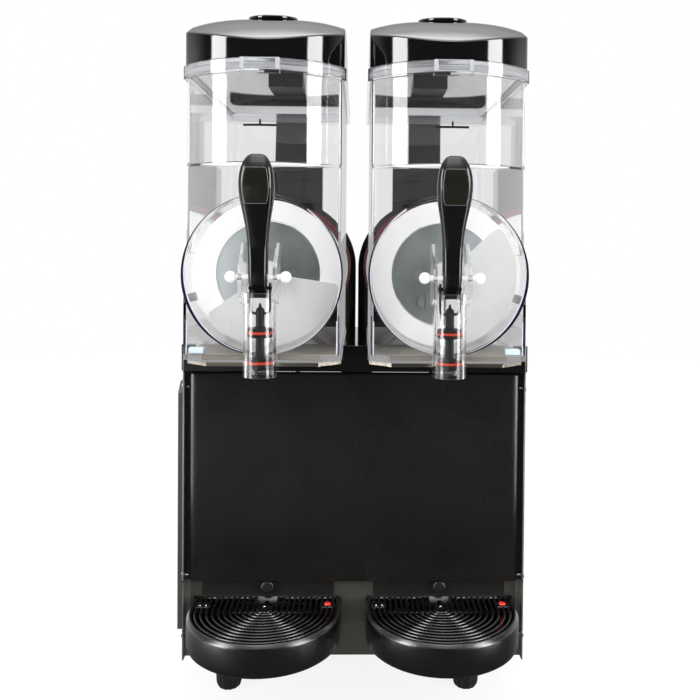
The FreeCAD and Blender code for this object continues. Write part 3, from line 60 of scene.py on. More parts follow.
class Graph:
    """A node tree, with short ways to add, set and link its nodes."""

    def __init__(self, tree):
        self.tree = tree
        self.nodes = tree.nodes

    def add(self, kind, **values):
        node = self.nodes.new(kind)
        for key, value in values.items():
            setattr(node, key, value)
        return node

    def link(self, source, target):
        """Link an output to a socket, or set a number or a colour on it."""
        if isinstance(source, bpy.types.NodeSocket):
            self.tree.links.new(source, target)
        else:
            target.default_value = (*source, 1) if isinstance(source, tuple) else source

    def fill(self, node, *values):
        """Set or link a node's sockets, given as (socket, value) pairs, and return its first output."""
        for key, value in values:
            self.link(value, node.inputs[key])
        return node.outputs[0]

    def axes(self, place):
        parts = self.add("ShaderNodeSeparateXYZ")
        self.link(place, parts.inputs[0])
        return parts.outputs

    def maths(self, kind, first, second=0.0):
        return self.fill(self.add("ShaderNodeMath", operation=kind), (0, first), (1, second))

    def times(self, first, second):
        return self.maths("MULTIPLY", first, second)

    def plus(self, first, second):
        return self.maths("ADD", first, second)

    def ranged(self, source, low, high, start=0.3, end=0.7, **values):
        node = self.add("ShaderNodeMapRange", **values)
        return self.fill(
            node, ("From Min", start), ("From Max", end), ("To Min", low), ("To Max", high), ("Value", source)
        )

    def step(self, source, start, end, low=0.0, high=1.0):
        return self.ranged(source, low, high, start, end, interpolation_type="SMOOTHSTEP")

    def soft_boxes(self, x, y, level):
        """That level in the directions of two soft boxes, to the left and right of the front."""
        turn = self.maths("ABSOLUTE", self.maths("ARCTAN2", x, self.times(y, -1.0)))
        off = self.maths("ABSOLUTE", self.maths("SUBTRACT", turn, BOX_TURN))
        return self.step(off, *BOX_EDGE, level, 0.0)

    def mixed(self, factor, first, second):
        """Two shaders, mixed."""
        return self.fill(self.add("ShaderNodeMixShader"), (0, factor), (1, first), (2, second))

    def emission(self, **values):
        node = self.add("ShaderNodeEmission")
        return self.fill(node, *values.items())


class Surface(Graph):
    """A procedural material: one Principled shader whose colour, roughness and normal come from nodes."""

    def __init__(self, name, colour, rough, **extra):
        self.mat = bpy.data.materials.new(name)
        self.mat.use_nodes = True
        super().__init__(self.mat.node_tree)
        self.bsdf = self.nodes["Principled BSDF"]
        self.paint(colour)
        self.bsdf.inputs["Roughness"].default_value = rough
        for key, value in extra.items():
            self.bsdf.inputs[key.replace("_", " ")].default_value = value
        self.colour = colour
        self.rough = rough
        self.place = self.add("ShaderNodeTexCoord").outputs["Object"]

    def paint(self, colour):
        self.link(colour, self.bsdf.inputs["Base Color"])

    def noise(self, scale, detail=4.0, stretch=None):
        place = self.place
        if stretch:
            mapping = self.add("ShaderNodeMapping")
            mapping.inputs["Scale"].default_value = stretch
            self.link(place, mapping.inputs["Vector"])
            place = mapping.outputs["Vector"]
        node = self.add("ShaderNodeTexNoise")
        self.fill(node, ("Scale", scale), ("Detail", detail), ("Roughness", 0.55), ("Vector", place))
        return node.outputs["Fac"]

    def blend(self, factor, first, second):
        """Two colours, mixed."""
        node = self.add("ShaderNodeMix", data_type="RGBA")
        self.fill(node, (6, first), (7, second), (0, factor))
        return node.outputs[2]

    def vary(self, amount, scale, stretch=None):
        """Uneven colour: the base colour with patches that are lighter and darker by that share."""
        light = tuple(min(1.0, c * (1 + amount)) for c in self.colour)
        dark = tuple(c * (1 - amount) for c in self.colour)
        self.shade = self.blend(self.ranged(self.noise(scale, stretch=stretch), 0.0, 1.0), dark, light)
        self.paint(self.shade)
        return self

    def patchy(self, amount, scale, stretch=None):
        """Uneven roughness."""
        spread = self.ranged(self.noise(scale, stretch=stretch), self.rough - amount, self.rough + amount)
        self.link(spread, self.bsdf.inputs["Roughness"])
        return self

    def grain(self, scale, height, strength=0.5, stretch=None, bevel=0.0):
        """Fine relief, over edges that are softened by the bevel's radius."""
        bump = self.add("ShaderNodeBump")
        relief = self.noise(scale, detail=3.0, stretch=stretch)
        self.fill(bump, ("Strength", strength), ("Distance", height), ("Height", relief))
        if bevel:
            node = self.add("ShaderNodeBevel", samples=4)
            node.inputs["Radius"].default_value = bevel
            self.soft = node.outputs["Normal"]
            self.link(self.soft, bump.inputs["Normal"])
        self.link(bump.outputs["Normal"], self.bsdf.inputs["Normal"])
        return self

    def worn(self, colour, share):
        """Paint rubbed thin along the edges that the bevel finds."""
        flat = self.add("ShaderNodeNewGeometry").outputs["Normal"]
        dot = self.add("ShaderNodeVectorMath", operation="DOT_PRODUCT")
        self.link(self.soft, dot.inputs[0])
        self.link(flat, dot.inputs[1])
        edge = self.ranged(dot.outputs["Value"], share, 0.0, 0.86, 0.985)
        mask = self.times(edge, self.ranged(self.noise(90.0), 0.0, 1.0))
        self.paint(self.blend(mask, self.shade, colour))
        return self


def coated(name, colour, rough):
    made = Surface(name, colour, rough)
    return made.vary(0.18, 7.0).patchy(0.06, 16.0).grain(1500.0, 0.00012, 0.35, bevel=0.0008)


def black_steel(name, colour, rough, wear=0.35):
    return coated(name, colour, rough).worn(tuple(c * 4 + 0.03 for c in colour), wear).mat


def moulded(name, colour, rough, bump=0.15, scale=700.0, vary=0.12, bevel=0.0006, **extra):
    made = Surface(name, colour, rough, **extra)
    made.vary(vary, 11.0).patchy(min(0.05, rough * 0.35), 23.0).grain(scale, 0.0001, bump, bevel=bevel)
    return made.mat


def brushed(name, colour, rough, stretch, scale=60.0, **extra):
    made = Surface(name, colour, rough, Metallic=1.0, **extra)
    made.vary(0.10, scale, stretch).patchy(0.07, scale * 1.7, stretch)
    made.grain(scale * 6, 0.00006, 0.25, stretch, bevel=0.0005)
    return made.mat


def clear_plastic(name, tint, density):
    """Clear polycarbonate: lamps shine through it, its depth has the tint, and at a glance its skin turns to a pale
    grey glow, a painted reflection of the white surroundings.
    """
    made = Surface(name, (1.0, 1.0, 1.0), 0.02, IOR=1.5, Transmission_Weight=1.0)
    made.patchy(0.012, 30.0).grain(14.0, 0.0006, 0.03)
    lets = made.add("ShaderNodeBsdfTransparent")
    lets.inputs["Color"].default_value = (0.97, 0.97, 0.975, 1)
    glance = made.add("ShaderNodeLayerWeight")
    glance.inputs["Blend"].default_value = 0.5
    # Painted reflection: towards a glance the skin blends into a pale grey glow.
    rim = made.ranged(glance.outputs["Facing"], 0.0, 0.70, 0.87, 0.985)
    skin = made.mixed(rim, made.bsdf.outputs[0], made.emission(Color=(0.55, 0.55, 0.55)))
    shadow = made.add("ShaderNodeLightPath").outputs["Is Shadow Ray"]
    out = made.nodes["Material Output"]
    made.link(made.mixed(shadow, skin, lets.outputs[0]), out.inputs["Surface"])
    inside = made.add("ShaderNodeVolumeAbsorption")
    made.link(made.fill(inside, ("Color", tint), ("Density", density)), out.inputs["Volume"])
    return made.mat


STEEL = black_steel("black_steel", (0.013, 0.0132, 0.0125), 0.38)
FRONT = black_steel("front_steel", (0.0080, 0.0080, 0.0074), 0.29, 0.2)
PLINTH = black_steel("plinth_steel", (0.050, 0.050, 0.041), 0.45, 0.25)
COVER = black_steel("cover_steel", (0.055, 0.055, 0.054), 0.40, 0.25)
GLOSS = moulded("gloss_black", (0.0035, 0.0035, 0.004), 0.07, 0.05, 300.0)
LID = moulded("lid_black", (0.0035, 0.0035, 0.004), 0.06, 0.04, 200.0, Specular_IOR_Level=0.72)
SATIN = moulded("satin_black", (0.013, 0.0135, 0.0135), 0.34, 0.2)
TRAY = moulded("tray_black", (0.0034, 0.0036, 0.0037), 0.25, 0.05, 900.0, Specular_IOR_Level=0.85)
RUBBER = moulded("foot_rubber", (0.010, 0.010, 0.010), 0.5, 0.4, 900.0)
WHITE = moulded("white_plastic", (0.87, 0.87, 0.86), 0.28, 0.1, 500.0, 0.03)
BALL = moulded("pin_white", (0.84, 0.84, 0.83), 0.22, 0.08, 500.0, 0.03)
RED = moulded("red_silicone", (0.34, 0.014, 0.040), 0.45, 0.25, 900.0)
ORANGE = moulded("orange_rubber", (0.78, 0.075, 0.035), 0.35, 0.2, 900.0)
FLOAT = moulded("float_red", (0.75, 0.035, 0.035), 0.18, 0.1, 600.0)
GREY = moulded("grey_plastic", (0.40, 0.40, 0.40), 0.5, 0.3)
MOTOR = moulded("motor_grey", (0.22, 0.225, 0.23), 0.4, 0.3)
COMPRESSOR = moulded("compressor_black", (0.012, 0.012, 0.013), 0.22, 0.3, 250.0)
STAINLESS = brushed("stainless", (0.55, 0.57, 0.56), 0.24, (1.0, 1.0, 0.12))
DRIP_STEEL = brushed("drip_stainless", (0.52, 0.47, 0.40), 0.30, (0.08, 1.0, 1.0))
FINS = brushed("fin_aluminium", (0.72, 0.72, 0.73), 0.35, (1.0, 1.0, 6.0))
COPPER = brushed("copper", (0.72, 0.33, 0.18), 0.30, (1.0, 1.0, 0.3))
SCREW = brushed("screw_steel", (0.62, 0.62, 0.61), 0.22, (1.0, 1.0, 1.0))
CLEAR = clear_plastic("clear_bowl", (0.42, 0.38, 0.52), 1.5)
LEVER_BLACK = moulded(
    "lever_black", (0.0040, 0.0040, 0.0044), 0.10, 0.06, 300.0, Specular_IOR_Level=0.35
)
PLATE_BLACK = moulded("plate_black", (0.0085, 0.0090, 0.0060), 0.16, 0.06, 300.0)


def side_steel():
    """Black coat, with the plinth's colour on the low front flange."""
    made = coated("side_steel", (0.013, 0.0132, 0.0125), 0.40)
    _, y, z = made.axes(made.place)
    low = made.ranged(z, 1.0, 0.0, 0.1535, 0.1540)
    ahead = made.ranged(y, 1.0, 0.0, -0.1160, -0.1155)
    made.paint(made.blend(made.times(low, ahead), made.shade, (0.085, 0.085, 0.076)))
    return made.mat


def lid_inside():
    """Pale reflector under the crown, a black band below it, and a pale lip. The pale parts glow, a painted light,
    and the lip's pale colour paints light shining through the clear collar.
    """
    made = Surface("lid_inside", (0.74, 0.75, 0.76), 0.30)
    made.vary(0.05, 14.0).patchy(0.06, 21.0).grain(300.0, 0.0001, 0.1)
    _, y, z = made.axes(made.place)
    above = made.ranged(z, 0.0, 1.0, 0.7640, 0.7655)
    below = made.ranged(z, 1.0, 0.0, 0.7505, 0.7520)
    ahead = made.ranged(y, 1.0, 0.0, 0.0950, 0.1050)
    pale = made.maths("MAXIMUM", made.maths("MAXIMUM", above, below), ahead)
    made.paint(made.blend(pale, (0.012, 0.012, 0.013), made.shade))
    # The pale parts also glow a little: painted light.
    made.bsdf.inputs["Emission Color"].default_value = (1.0, 1.0, 1.0, 1)
    made.link(made.times(pale, 0.25), made.bsdf.inputs["Emission Strength"])
    return made.mat


# Pale frosted strips and beads on the clear tank paint the highlights along its step and corners.
FROST_HIGHLIGHT = moulded("frosted_highlight", (0.66, 0.67, 0.69), 0.22, 0.08, 300.0, 0.04)
# The auger's ring and fan glow a little though they are no lamps: painted light that brightens them behind the clear
# bowl.
RING_WHITE_GLOW = moulded(
    "ring_white_glow", (0.94, 0.94, 0.93), 0.30, 0.08, 500.0, 0.02, Emission_Color=(1, 1, 1, 1), Emission_Strength=0.26
)
FAN_WHITE_GLOW = moulded(
    "fan_white_glow", (0.80, 0.815, 0.80), 0.26, 0.08, 400.0, 0.03, Emission_Color=(1, 1, 1, 1), Emission_Strength=0.12
)
# Dark indigo strips paint the shade in the clear drum's thick rim; pale lavender strips paint its highlight lines.
INDIGO_SHADE = moulded("indigo_painted_shade", (0.011, 0.009, 0.024), 0.10, 0.04, 300.0, 0.2)
LAVENDER_HIGHLIGHT = moulded("lavender_painted_highlight", (0.60, 0.59, 0.68), 0.15, 0.04, 300.0, 0.15)
SHEET_EDGE = moulded("sheet_edge", (0.175, 0.162, 0.140), 0.35, 0.1, 300.0, 0.25)
PALE_BLUE = moulded("pale_blue", (0.60, 0.72, 0.80), 0.12, 0.05, 300.0, 0.05)


def cloudy_steel(name, colour, rough, stretch, metallic, outer=None):
    """Brushed steel under a thin uneven haze; given an outer colour, it is painted paler towards the machine's outer
    sides, a painted light and shade.
    """
    made = Surface(name, colour, rough, Metallic=metallic)
    made.vary(0.42, 10.0).patchy(0.10, 19.0).grain(420.0, 0.00006, 0.3, stretch, bevel=0.0005)
    if outer:
        # Painted light and shade: the colour goes paler towards the machine's outer sides.
        across = made.ranged(made.maths("ABSOLUTE", made.axes(made.place)["X"]), 0.0, 1.0, 0.085, 0.150)
        made.paint(made.blend(across, made.shade, outer))
    return made.mat


def soft_clear():
    """Translucent sealing lip."""
    made = Surface("seal_clear", (0.86, 0.87, 0.90), 0.22, IOR=1.3, Transmission_Weight=0.85)
    made.patchy(0.05, 40.0).grain(200.0, 0.0001, 0.15)
    return made.mat


# The evaporator's face is painted paler towards the machine's outer sides and darker towards its middle: painted
# light and shade.
COLD_SIDE_LIT = cloudy_steel("cold_stainless_side_lit", (0.30, 0.33, 0.33), 0.38, (1.0, 1.0, 0.10), 0.55, (0.92, 0.98, 1.0))
SHEET = cloudy_steel("sheet_stainless", (0.33, 0.31, 0.275), 0.42, (0.06, 1.0, 1.0), 0.45)
SEAL = soft_clear()
CATCH = moulded("catch_clear", (0.42, 0.43, 0.45), 0.18, 0.08, 300.0, 0.04)
LID_INSIDE_GLOW = lid_inside()
SIDE_STEEL = side_steel()
# Grey that paints thin highlights along edges.
HIGHLIGHT_GREY = moulded("highlight_grey", (0.15, 0.15, 0.15), 0.3, 0.1, 500.0)
MARK = moulded("mark_black", (0.006, 0.006, 0.006), 0.4, 0.1, 900.0)

LOOKS = {
    "base_pan": STEEL, "feet": RUBBER, "plinth_plate": PLINTH, "panel_thumbscrews": SATIN, "front_panel": FRONT,
    "left_side_panel": SIDE_STEEL, "right_side_panel": SIDE_STEEL, "panel_screws": SCREW, "rear_panel": STEEL,
    "cable_gland": SATIN, "top_deck": GLOSS, "filter_cover": COVER, "control_panel": SATIN, "power_switch": GLOSS,
    "left_mode_switch": GLOSS, "right_mode_switch": GLOSS, "left_thermostat_knob": SATIN,
    "right_thermostat_knob": SATIN, "compressor": COMPRESSOR, "condenser": FINS, "fan_shroud": STEEL,
    "fan_motor": MOTOR, "fan_blade": FINS, "refrigerant_lines": COPPER, "filter_dryer": COPPER,
    "electrical_box": GREY,
}
PAIR_LOOKS = {
    "rear_housing": GLOSS, "gear_motor": MOTOR, "evaporator": COLD_SIDE_LIT, "bowl_gasket": RED,
    "condensate_tray": DRIP_STEEL, "auger": WHITE, "drive_shaft": STAINLESS, "bowl": CLEAR, "pivot_pin": BALL,
    "tap_lever": GLOSS, "tap_piston": MARK, "piston_seals": ORANGE, "lid": LID, "lid_lamp": SATIN,
    "drip_tray": TRAY, "tray_grille": TRAY, "tray_float": FLOAT,
}
for side in SIDES:
    LOOKS.update({f"{side}_{kind}": look for kind, look in PAIR_LOOKS.items()})
for name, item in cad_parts.items():
    item.data.materials.clear()
    item.data.materials.append(LOOKS[name])


# ---------------------------------------------------------------- mesh helpers

def piece(name, verts, faces, body, look, slot, hides=(), smooth=True, inner=None):
    """A mesh that rides on a body, in place of the nodes that it hides."""
    mesh = bpy.data.meshes.new(name)
    mesh.from_pydata([tuple(v) for v in verts], [], faces)
    form = bmesh.new()
    form.from_mesh(mesh)
    bmesh.ops.remove_doubles(form, verts=form.verts, dist=1e-6)
    bmesh.ops.recalc_face_normals(form, faces=form.faces)
    form.to_mesh(mesh)
    form.free()
    mesh.materials.append(look)
    if inner:
        mesh.materials.append(inner)
    item = bpy.data.objects.new(name, mesh)
    bpy.context.scene.collection.objects.link(item)
    if smooth:
        for face in mesh.polygons:
            face.use_smooth = True
    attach(item, body)
    if hides:
        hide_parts(*hides)
    return item


def crisp(item, width, angle=40.0, segments=2):
    """Round an item's sharp edges a little, and keep its flat faces flat."""
    bevel = item.modifiers.new("edges", "BEVEL")
    bevel.width = width
    bevel.segments = segments
    bevel.limit_method = "ANGLE"
    bevel.angle_limit = math.radians(angle)
    even = item.modifiers.new("normals", "WEIGHTED_NORMAL")
    even.keep_sharp = True


def thicken(item, thickness, offset):
    skin = item.modifiers.new("skin", "SOLIDIFY")
    skin.thickness = thickness
    skin.offset = offset
    return skin


def joined_parts(*parts):
    """Several (verts, faces) lists as one."""
    verts, faces = [], []
    for some, their in parts:
        start = len(verts)
        verts += [Vector(v) for v in some]
        faces += [tuple(i + start for i in face) for face in their]
    return verts, faces


def loft(rings, caps=True, ring_closed=True):
    """Rings of equal length, joined in order."""
    count = len(rings[0])
    verts = [Vector(v) for ring in rings for v in ring]
    faces = []
    for row in range(len(rings) - 1):
        for i in range(count if ring_closed else count - 1):
            j = (i + 1) % count
            a = row * count
            faces.append((a + i, a + j, a + count + j, a + count + i))
    if caps and ring_closed:
        faces.append(tuple(range(count)))
        faces.append(tuple(reversed(range((len(rings) - 1) * count, len(rings) * count))))
    return verts, faces


def lathe(profile, centre, axis="z", steps=48, dent=None):
    """A closed form turned from (radius, distance) rows along an axis.

    With a dent, the rows also have its depth, and it tells how much of that depth each angle gets.
    """
    rings = []
    for radius, far, *depth in profile:
        ring = []
        for i in range(steps):
            turn = 2 * math.pi * i / steps
            reach = radius * (1 - depth[0] * dent(turn)) if dent else radius
            a, b = reach * math.cos(turn), reach * math.sin(turn)
            spot = {"z": (a, b, far), "y": (a, far, b), "x": (far, a, b)}[axis]
            ring.append(Vector(centre) + Vector(spot))
        rings.append(ring)
    return loft(rings)


def arc(centre, radius, first, last, steps, skip=0):
    """Points round a centre from one angle to another, without the first few."""
    turns = (first + (last - first) * i / steps for i in range(skip, steps + 1))
    return [(centre[0] + radius * math.cos(turn), centre[1] + radius * math.sin(turn)) for turn in turns]


def bent_bar(points, half_wide, half_high, closed=False, sides=10, square=2.4):
    """A bar with a rounded section along points that lie level, or along any points if the section is round."""
    rings = []
    count = len(points)
    for i, point in enumerate(points):
        before = points[(i - 1) % count] if closed or i else points[0]
        after = points[(i + 1) % count] if closed or i < count - 1 else points[-1]
        along = (Vector(after) - Vector(before)).normalized()
        side = along.cross(Vector((0, 0, 1)))
        side = Vector((1, 0, 0)) if side.length < 1e-6 else side.normalized()
        up = side.cross(along)
        ring = []
        for k in range(sides):
            turn = 2 * math.pi * k / sides
            c, s = math.cos(turn), math.sin(turn)
            a = math.copysign(abs(c) ** (2 / square), c) * half_wide
            b = math.copysign(abs(s) ** (2 / square), s) * half_high
            ring.append(Vector(point) + side * a + up * b)
        rings.append(ring)
    return loft(rings + [rings[0]], caps=False) if closed else loft(rings)


def block(low, high):
    x0, y0, z0 = low
    x1, y1, z1 = high
    return loft([
        [(x0, y0, z0), (x1, y0, z0), (x1, y1, z0), (x0, y1, z0)],
        [(x0, y0, z1), (x1, y0, z1), (x1, y1, z1), (x0, y1, z1)],
    ])


def rounded_ring(half_x, half_y, power, count=36):
    ring = []
    for i in range(count):
        turn = 2 * math.pi * (i + 0.5) / count
        ring.append(tuple(
            math.copysign(abs(c) ** (2 / power), c) * half
            for c, half in ((math.cos(turn), half_x), (math.sin(turn), half_y))
        ))
    return ring


def between(table, at):
    """Values read off a table of (place, value, ...) rows, in proportion between them."""
    if at <= table[0][0]:
        return table[0][1:]
    for first, second in zip(table, table[1:]):
        if at <= second[0]:
            t = (at - first[0]) / (second[0] - first[0])
            return tuple(a + (b - a) * t for a, b in zip(first[1:], second[1:]))
    return table[-1][1:]


# ---------------------------------------------------------------- lids

LID_HALF, LID_FRONT, LID_SHOULDER, LID_BACK, LID_CORNER = 0.0863, 0.2178, 0.1735, 0.1382, 0.014
LID_LOW, LID_TOP = 0.7402, 0.8125
LID_CREST = -0.075
LID_BEND = 0.0020


def lid_plan(inset):
    """The lid's outline seen from above, moved inwards."""
    half = LID_HALF - inset
    depth = LID_FRONT - LID_SHOULDER
    radius = (LID_HALF ** 2 + depth ** 2) / (2 * depth)
    span = math.asin(half / (radius - inset))
    quarter = math.pi / 2
    points = arc((0.0, radius - LID_FRONT), radius - inset, -quarter - span, -quarter + span, 40)
    corner = max(LID_CORNER - inset, 0.001)
    back = LID_BACK - inset
    front = points[-1][1]
    points += [(half, front + (back - corner - front) * i / 12) for i in range(1, 13)]
    points += arc((half - corner, back - corner), corner, 0.0, quarter, 8, 1)
    points += [((half - corner) * (1 - 2 * i / 12), back) for i in range(1, 12)]
    points += arc((corner - half, back - corner), corner, quarter, math.pi, 8)
    return points + [(-half, front + (back - corner - front) * i / 12) for i in range(11, 0, -1)]


def lid_height(x, y):
    """The crown: full in the middle, falling faster towards the front than to the back."""
    span = LID_FRONT + LID_CREST if y < LID_CREST else LID_BACK - LID_CREST
    return LID_TOP - 0.010 * abs(x / LID_HALF) ** 3 - 0.0525 * abs((y - LID_CREST) / span) ** 1.9


def make_lid(side, middle):
    """Lid: a domed shell with a soft lip under its edge, and a dished knob."""
    body = f"{side}_lid"
    skirt = (LID_LOW, LID_LOW + 0.0008, 0.744, 0.750)
    rings = [[(middle + x, y, z) for x, y in lid_plan(0.0)] for z in skirt]
    for k in range(7):
        turn = math.pi / 2 * k / 6
        inset = LID_BEND * (1 - math.cos(turn))
        drop = LID_BEND * (1 - math.sin(turn))
        rings.append([(middle + x, y, lid_height(x, y) - drop) for x, y in lid_plan(inset)])
    crest = lid_plan(LID_BEND)
    for share in (0.97, 0.93, 0.88, 0.82, 0.75, 0.67, 0.58, 0.48, 0.38, 0.28, 0.18, 0.09):
        spots = [(x * share, LID_CREST + (y - LID_CREST) * share) for x, y in crest]
        rings.append([(middle + u, v, lid_height(u, v)) for u, v in spots])
    verts, faces = loft(rings, caps=False)
    tip = len(verts)
    verts.append(Vector((middle, LID_CREST, lid_height(0, LID_CREST))))
    last = tip - len(crest)
    faces += [(last + i, last + (i + 1) % len(crest), tip) for i in range(len(crest))]
    shell = piece(f"{side}_lid_shell", verts, faces, body, LID, "gloss_black", [f"{side}_lid"], inner=LID_INSIDE_GLOW)
    skin = thicken(shell, 0.0026, -1.0)
    skin.material_offset = 1
    skin.material_offset_rim = 0
    lip = ((0.7279, 0.0004), (0.7276, 0.0009), (0.7276, 0.0021), (0.7279, 0.0026), (0.7403, 0.0026), (0.7403, 0.0004))
    seal = [[(middle + x, y, z) for x, y in lid_plan(inset)] for z, inset in lip]
    piece(f"{side}_lid_seal", *loft(seal + [seal[0]], caps=False), body, SEAL, "clear")
    profile = [
        (0.0255, -0.0120), (0.0265, -0.0045), (0.0278, -0.0038), (0.0286, -0.0030), (0.0290, -0.0020),
        (0.0289, -0.0008), (0.0282, 0.0), (0.0268, 0.0004), (0.0245, 0.0003), (0.0228, -0.0004), (0.0200, -0.0009),
        (0.0100, -0.0011), (0.0010, -0.0011),
    ]
    verts, faces = lathe(profile, (0, 0, 0))
    lean = Matrix.Translation((middle, -0.097, 0.8146)) @ Matrix.Rotation(math.radians(8.0), 4, "X")
    piece(f"{side}_lid_knob", [lean @ v for v in verts], faces, body, LID, "gloss_black")


# ---------------------------------------------------------------- taps

# The lever's section is a rounded box, sharper with a higher power.
LEVER_POWER = 3.2
# Height, half width, front face and back face of the lever.
LEVER = [
    (0.5040, 0.0092, -0.2318, -0.2195),
    (0.5080, 0.0099, -0.2325, -0.2166),
    (0.5170, 0.0103, -0.2332, -0.2155),
    (0.5300, 0.0104, -0.2338, -0.2165),
    (0.5440, 0.0107, -0.2345, -0.2185),
    (0.5540, 0.0114, -0.2360, -0.2203),
    (0.5640, 0.0125, -0.2385, -0.2216),
    (0.5740, 0.0142, -0.2418, -0.2230),
    (0.5840, 0.0161, -0.2455, -0.2246),
    (0.5930, 0.0175, -0.2488, -0.2262),
    (0.6010, 0.0182, -0.2512, -0.2280),
    (0.6090, 0.0182, -0.2522, -0.2300),
    (0.6160, 0.0176, -0.2518, -0.2318),
    (0.6230, 0.0161, -0.2500, -0.2336),
    (0.6290, 0.0139, -0.2476, -0.2354),
    (0.6335, 0.0112, -0.2452, -0.2372),
    (0.6362, 0.0085, -0.2430, -0.2386),
    (0.6374, 0.0052, -0.2415, -0.2396),
]


def lever_front(z, x):
    """Where the lever's front face lies at that height and distance across."""
    half, front, back = between(LEVER, z)
    deep = (back - front) / 2
    return front + deep - deep * (1 - abs(x / half) ** LEVER_POWER) ** (1 / LEVER_POWER)


def make_lever(side, middle):
    """Lever: a curved handle with a nose in the piston's fork, and a raised plate on the grip."""
    body = f"{side}_lever"
    rings = []
    for i in range(55):
        z = LEVER[0][0] + (LEVER[-1][0] - LEVER[0][0]) * (1 - (1 - i / 54) ** 1.35)
        half, front, back = between(LEVER, z)
        section = rounded_ring(half, (back - front) / 2, LEVER_POWER, 40)
        rings.append([(middle + x, (front + back) / 2 + y, z) for x, y in section])
    verts, faces = loft([
        [(middle + x, TAP_Y + y, z) for x, y in rounded_ring(w, d, 5, 28)]
        for z, w, d in ((0.4900, 0.0072, 0.0050), (0.4903, 0.0078, 0.0055), (0.4912, 0.0081, 0.0058),
                        (0.4940, 0.0082, 0.0059), (0.4990, 0.0082, 0.0059), (0.5030, 0.0078, 0.0059),
                        (0.5060, 0.0068, 0.0056), (0.5074, 0.0056, 0.0048))
    ])
    nose = ([v + Vector((0, -0.0037, 0)) for v in verts], faces)
    bridge = block((middle - 0.0066, -0.2250, 0.4990), (middle + 0.0066, TAP_Y - 0.0002, 0.5062))
    pin = [(0.0015, -0.0125), (0.0020, -0.0120), (0.0020, 0.0120), (0.0015, 0.0125)]
    peg = lathe(pin, (middle, TAP_Y, 0.5), "x", 20)
    form = joined_parts(loft(rings), nose, bridge, peg)
    crisp(piece(f"{side}_lever_handle", *form, body, LEVER_BLACK, "gloss_black", [f"{side}_tap_lever"]), 0.0005, 50)

    low, high = 0.5870, 0.6230
    grid = []
    for i in range(15):
        t = i / 14
        z = low + (high - low) * t
        wide = 0.0110 + 0.0021 * math.sin(math.pi * min(1.0, t * 1.05))
        wide -= 0.0012 * max(0.0, 1 - min(t, 1 - t) * 14)
        across = [wide * (-1 + 2 * k / 10) for k in range(11)]
        grid.append([(middle + x, lever_front(z, x) - 0.0011, z) for x in across])
    plate = piece(f"{side}_lever_plate", *loft(grid, False, False), body, PLATE_BLACK, "gloss_black")
    thicken(plate, 0.0022, 0.0)
    crisp(plate, 0.0006, segments=3)
    # A thin grey line round the plate: a painted highlight on its edge.
    edge = [row[0] for row in grid] + grid[-1][1:-1] + [row[-1] for row in reversed(grid)] + grid[0][-2:0:-1]
    line = bent_bar([(x, y - 0.0009, z) for x, y, z in edge], 0.00035, 0.00035, closed=True, sides=8, square=2.0)
    piece(f"{side}_lever_highlight_line", *line, body, HIGHLIGHT_GREY, "gloss_black")


def make_piston(side, middle):
    """Piston: rod with two grooved discs under a rounded fork, and a seal ring in each groove."""
    body = f"{side}_piston"
    profile = [
        (0.0040, 0.4150), (0.0118, 0.4150), (0.0131, 0.4158), (0.0133, 0.4172), (0.0131, 0.4192), (0.0110, 0.4198),
        (0.0110, 0.4232), (0.0131, 0.4238), (0.0133, 0.4252), (0.0131, 0.4264), (0.0118, 0.4269), (0.0060, 0.4272),
        (0.0046, 0.4284), (0.0046, 0.4462), (0.0052, 0.4476), (0.0118, 0.4480), (0.0131, 0.4486), (0.0133, 0.4498),
        (0.0131, 0.4508), (0.0110, 0.4513), (0.0110, 0.4547), (0.0131, 0.4552), (0.0133, 0.4566), (0.0131, 0.4576),
        (0.0118, 0.4580), (0.0058, 0.4585), (0.0047, 0.4600), (0.0046, 0.4766), (0.0038, 0.4784), (0.0020, 0.4796),
        (0.0013, 0.4812), (0.0012, 0.4832), (0.0004, 0.4842),
    ]
    arm = [
        (-0.0103, 0.5055), (-0.0103, 0.4985), (-0.0103, 0.4850), (-0.0103, 0.4785), (-0.0098, 0.4756),
        (-0.0082, 0.4738), (-0.0055, 0.4733),
    ]
    path = arm + [(0.0, 0.4732)] + [(-x, z) for x, z in reversed(arm)]
    fork = []
    for i, (x, z) in enumerate(path):
        a = path[max(i - 1, 0)]
        b = path[min(i + 1, len(path) - 1)]
        along = Vector((b[0] - a[0], 0, b[1] - a[1])).normalized()
        out = Vector((along.z, 0, -along.x))
        section = rounded_ring(0.0013, 0.0042, 4, 16)
        fork.append([Vector((middle + x, TAP_Y + 0.0010 + v, z)) + out * u for u, v in section])
    form = joined_parts(lathe(profile, (middle, TAP_Y, 0), "z", 36), loft(fork))
    piece(f"{side}_piston_body", *form, body, MARK, "satin_black", [f"{side}_tap_piston"])
    rings = []
    for height in (0.4215, 0.4530):
        round_path = arc((middle, TAP_Y), 0.0127, 0.0, 2 * math.pi, 48)[:-1]
        points = [(x, y, height) for x, y in round_path]
        rings.append(bent_bar(points, 0.0015, 0.0015, closed=True, sides=12, square=2.0))
    form = joined_parts(*rings)
    piece(f"{side}_seal_rings", *form, body, ORANGE, "orange_rubber", [f"{side}_piston_seals"])


# ---------------------------------------------------------------- drip trays and feet

def tray_path(radius, back):
    bend = back * 0.5 + TRAY_Y * 0.5
    front = arc((0.0, TRAY_Y), radius, math.pi, 2 * math.pi, 48)
    return [(-radius, back), (-radius, bend)] + front + [(radius, bend), (radius, back)]


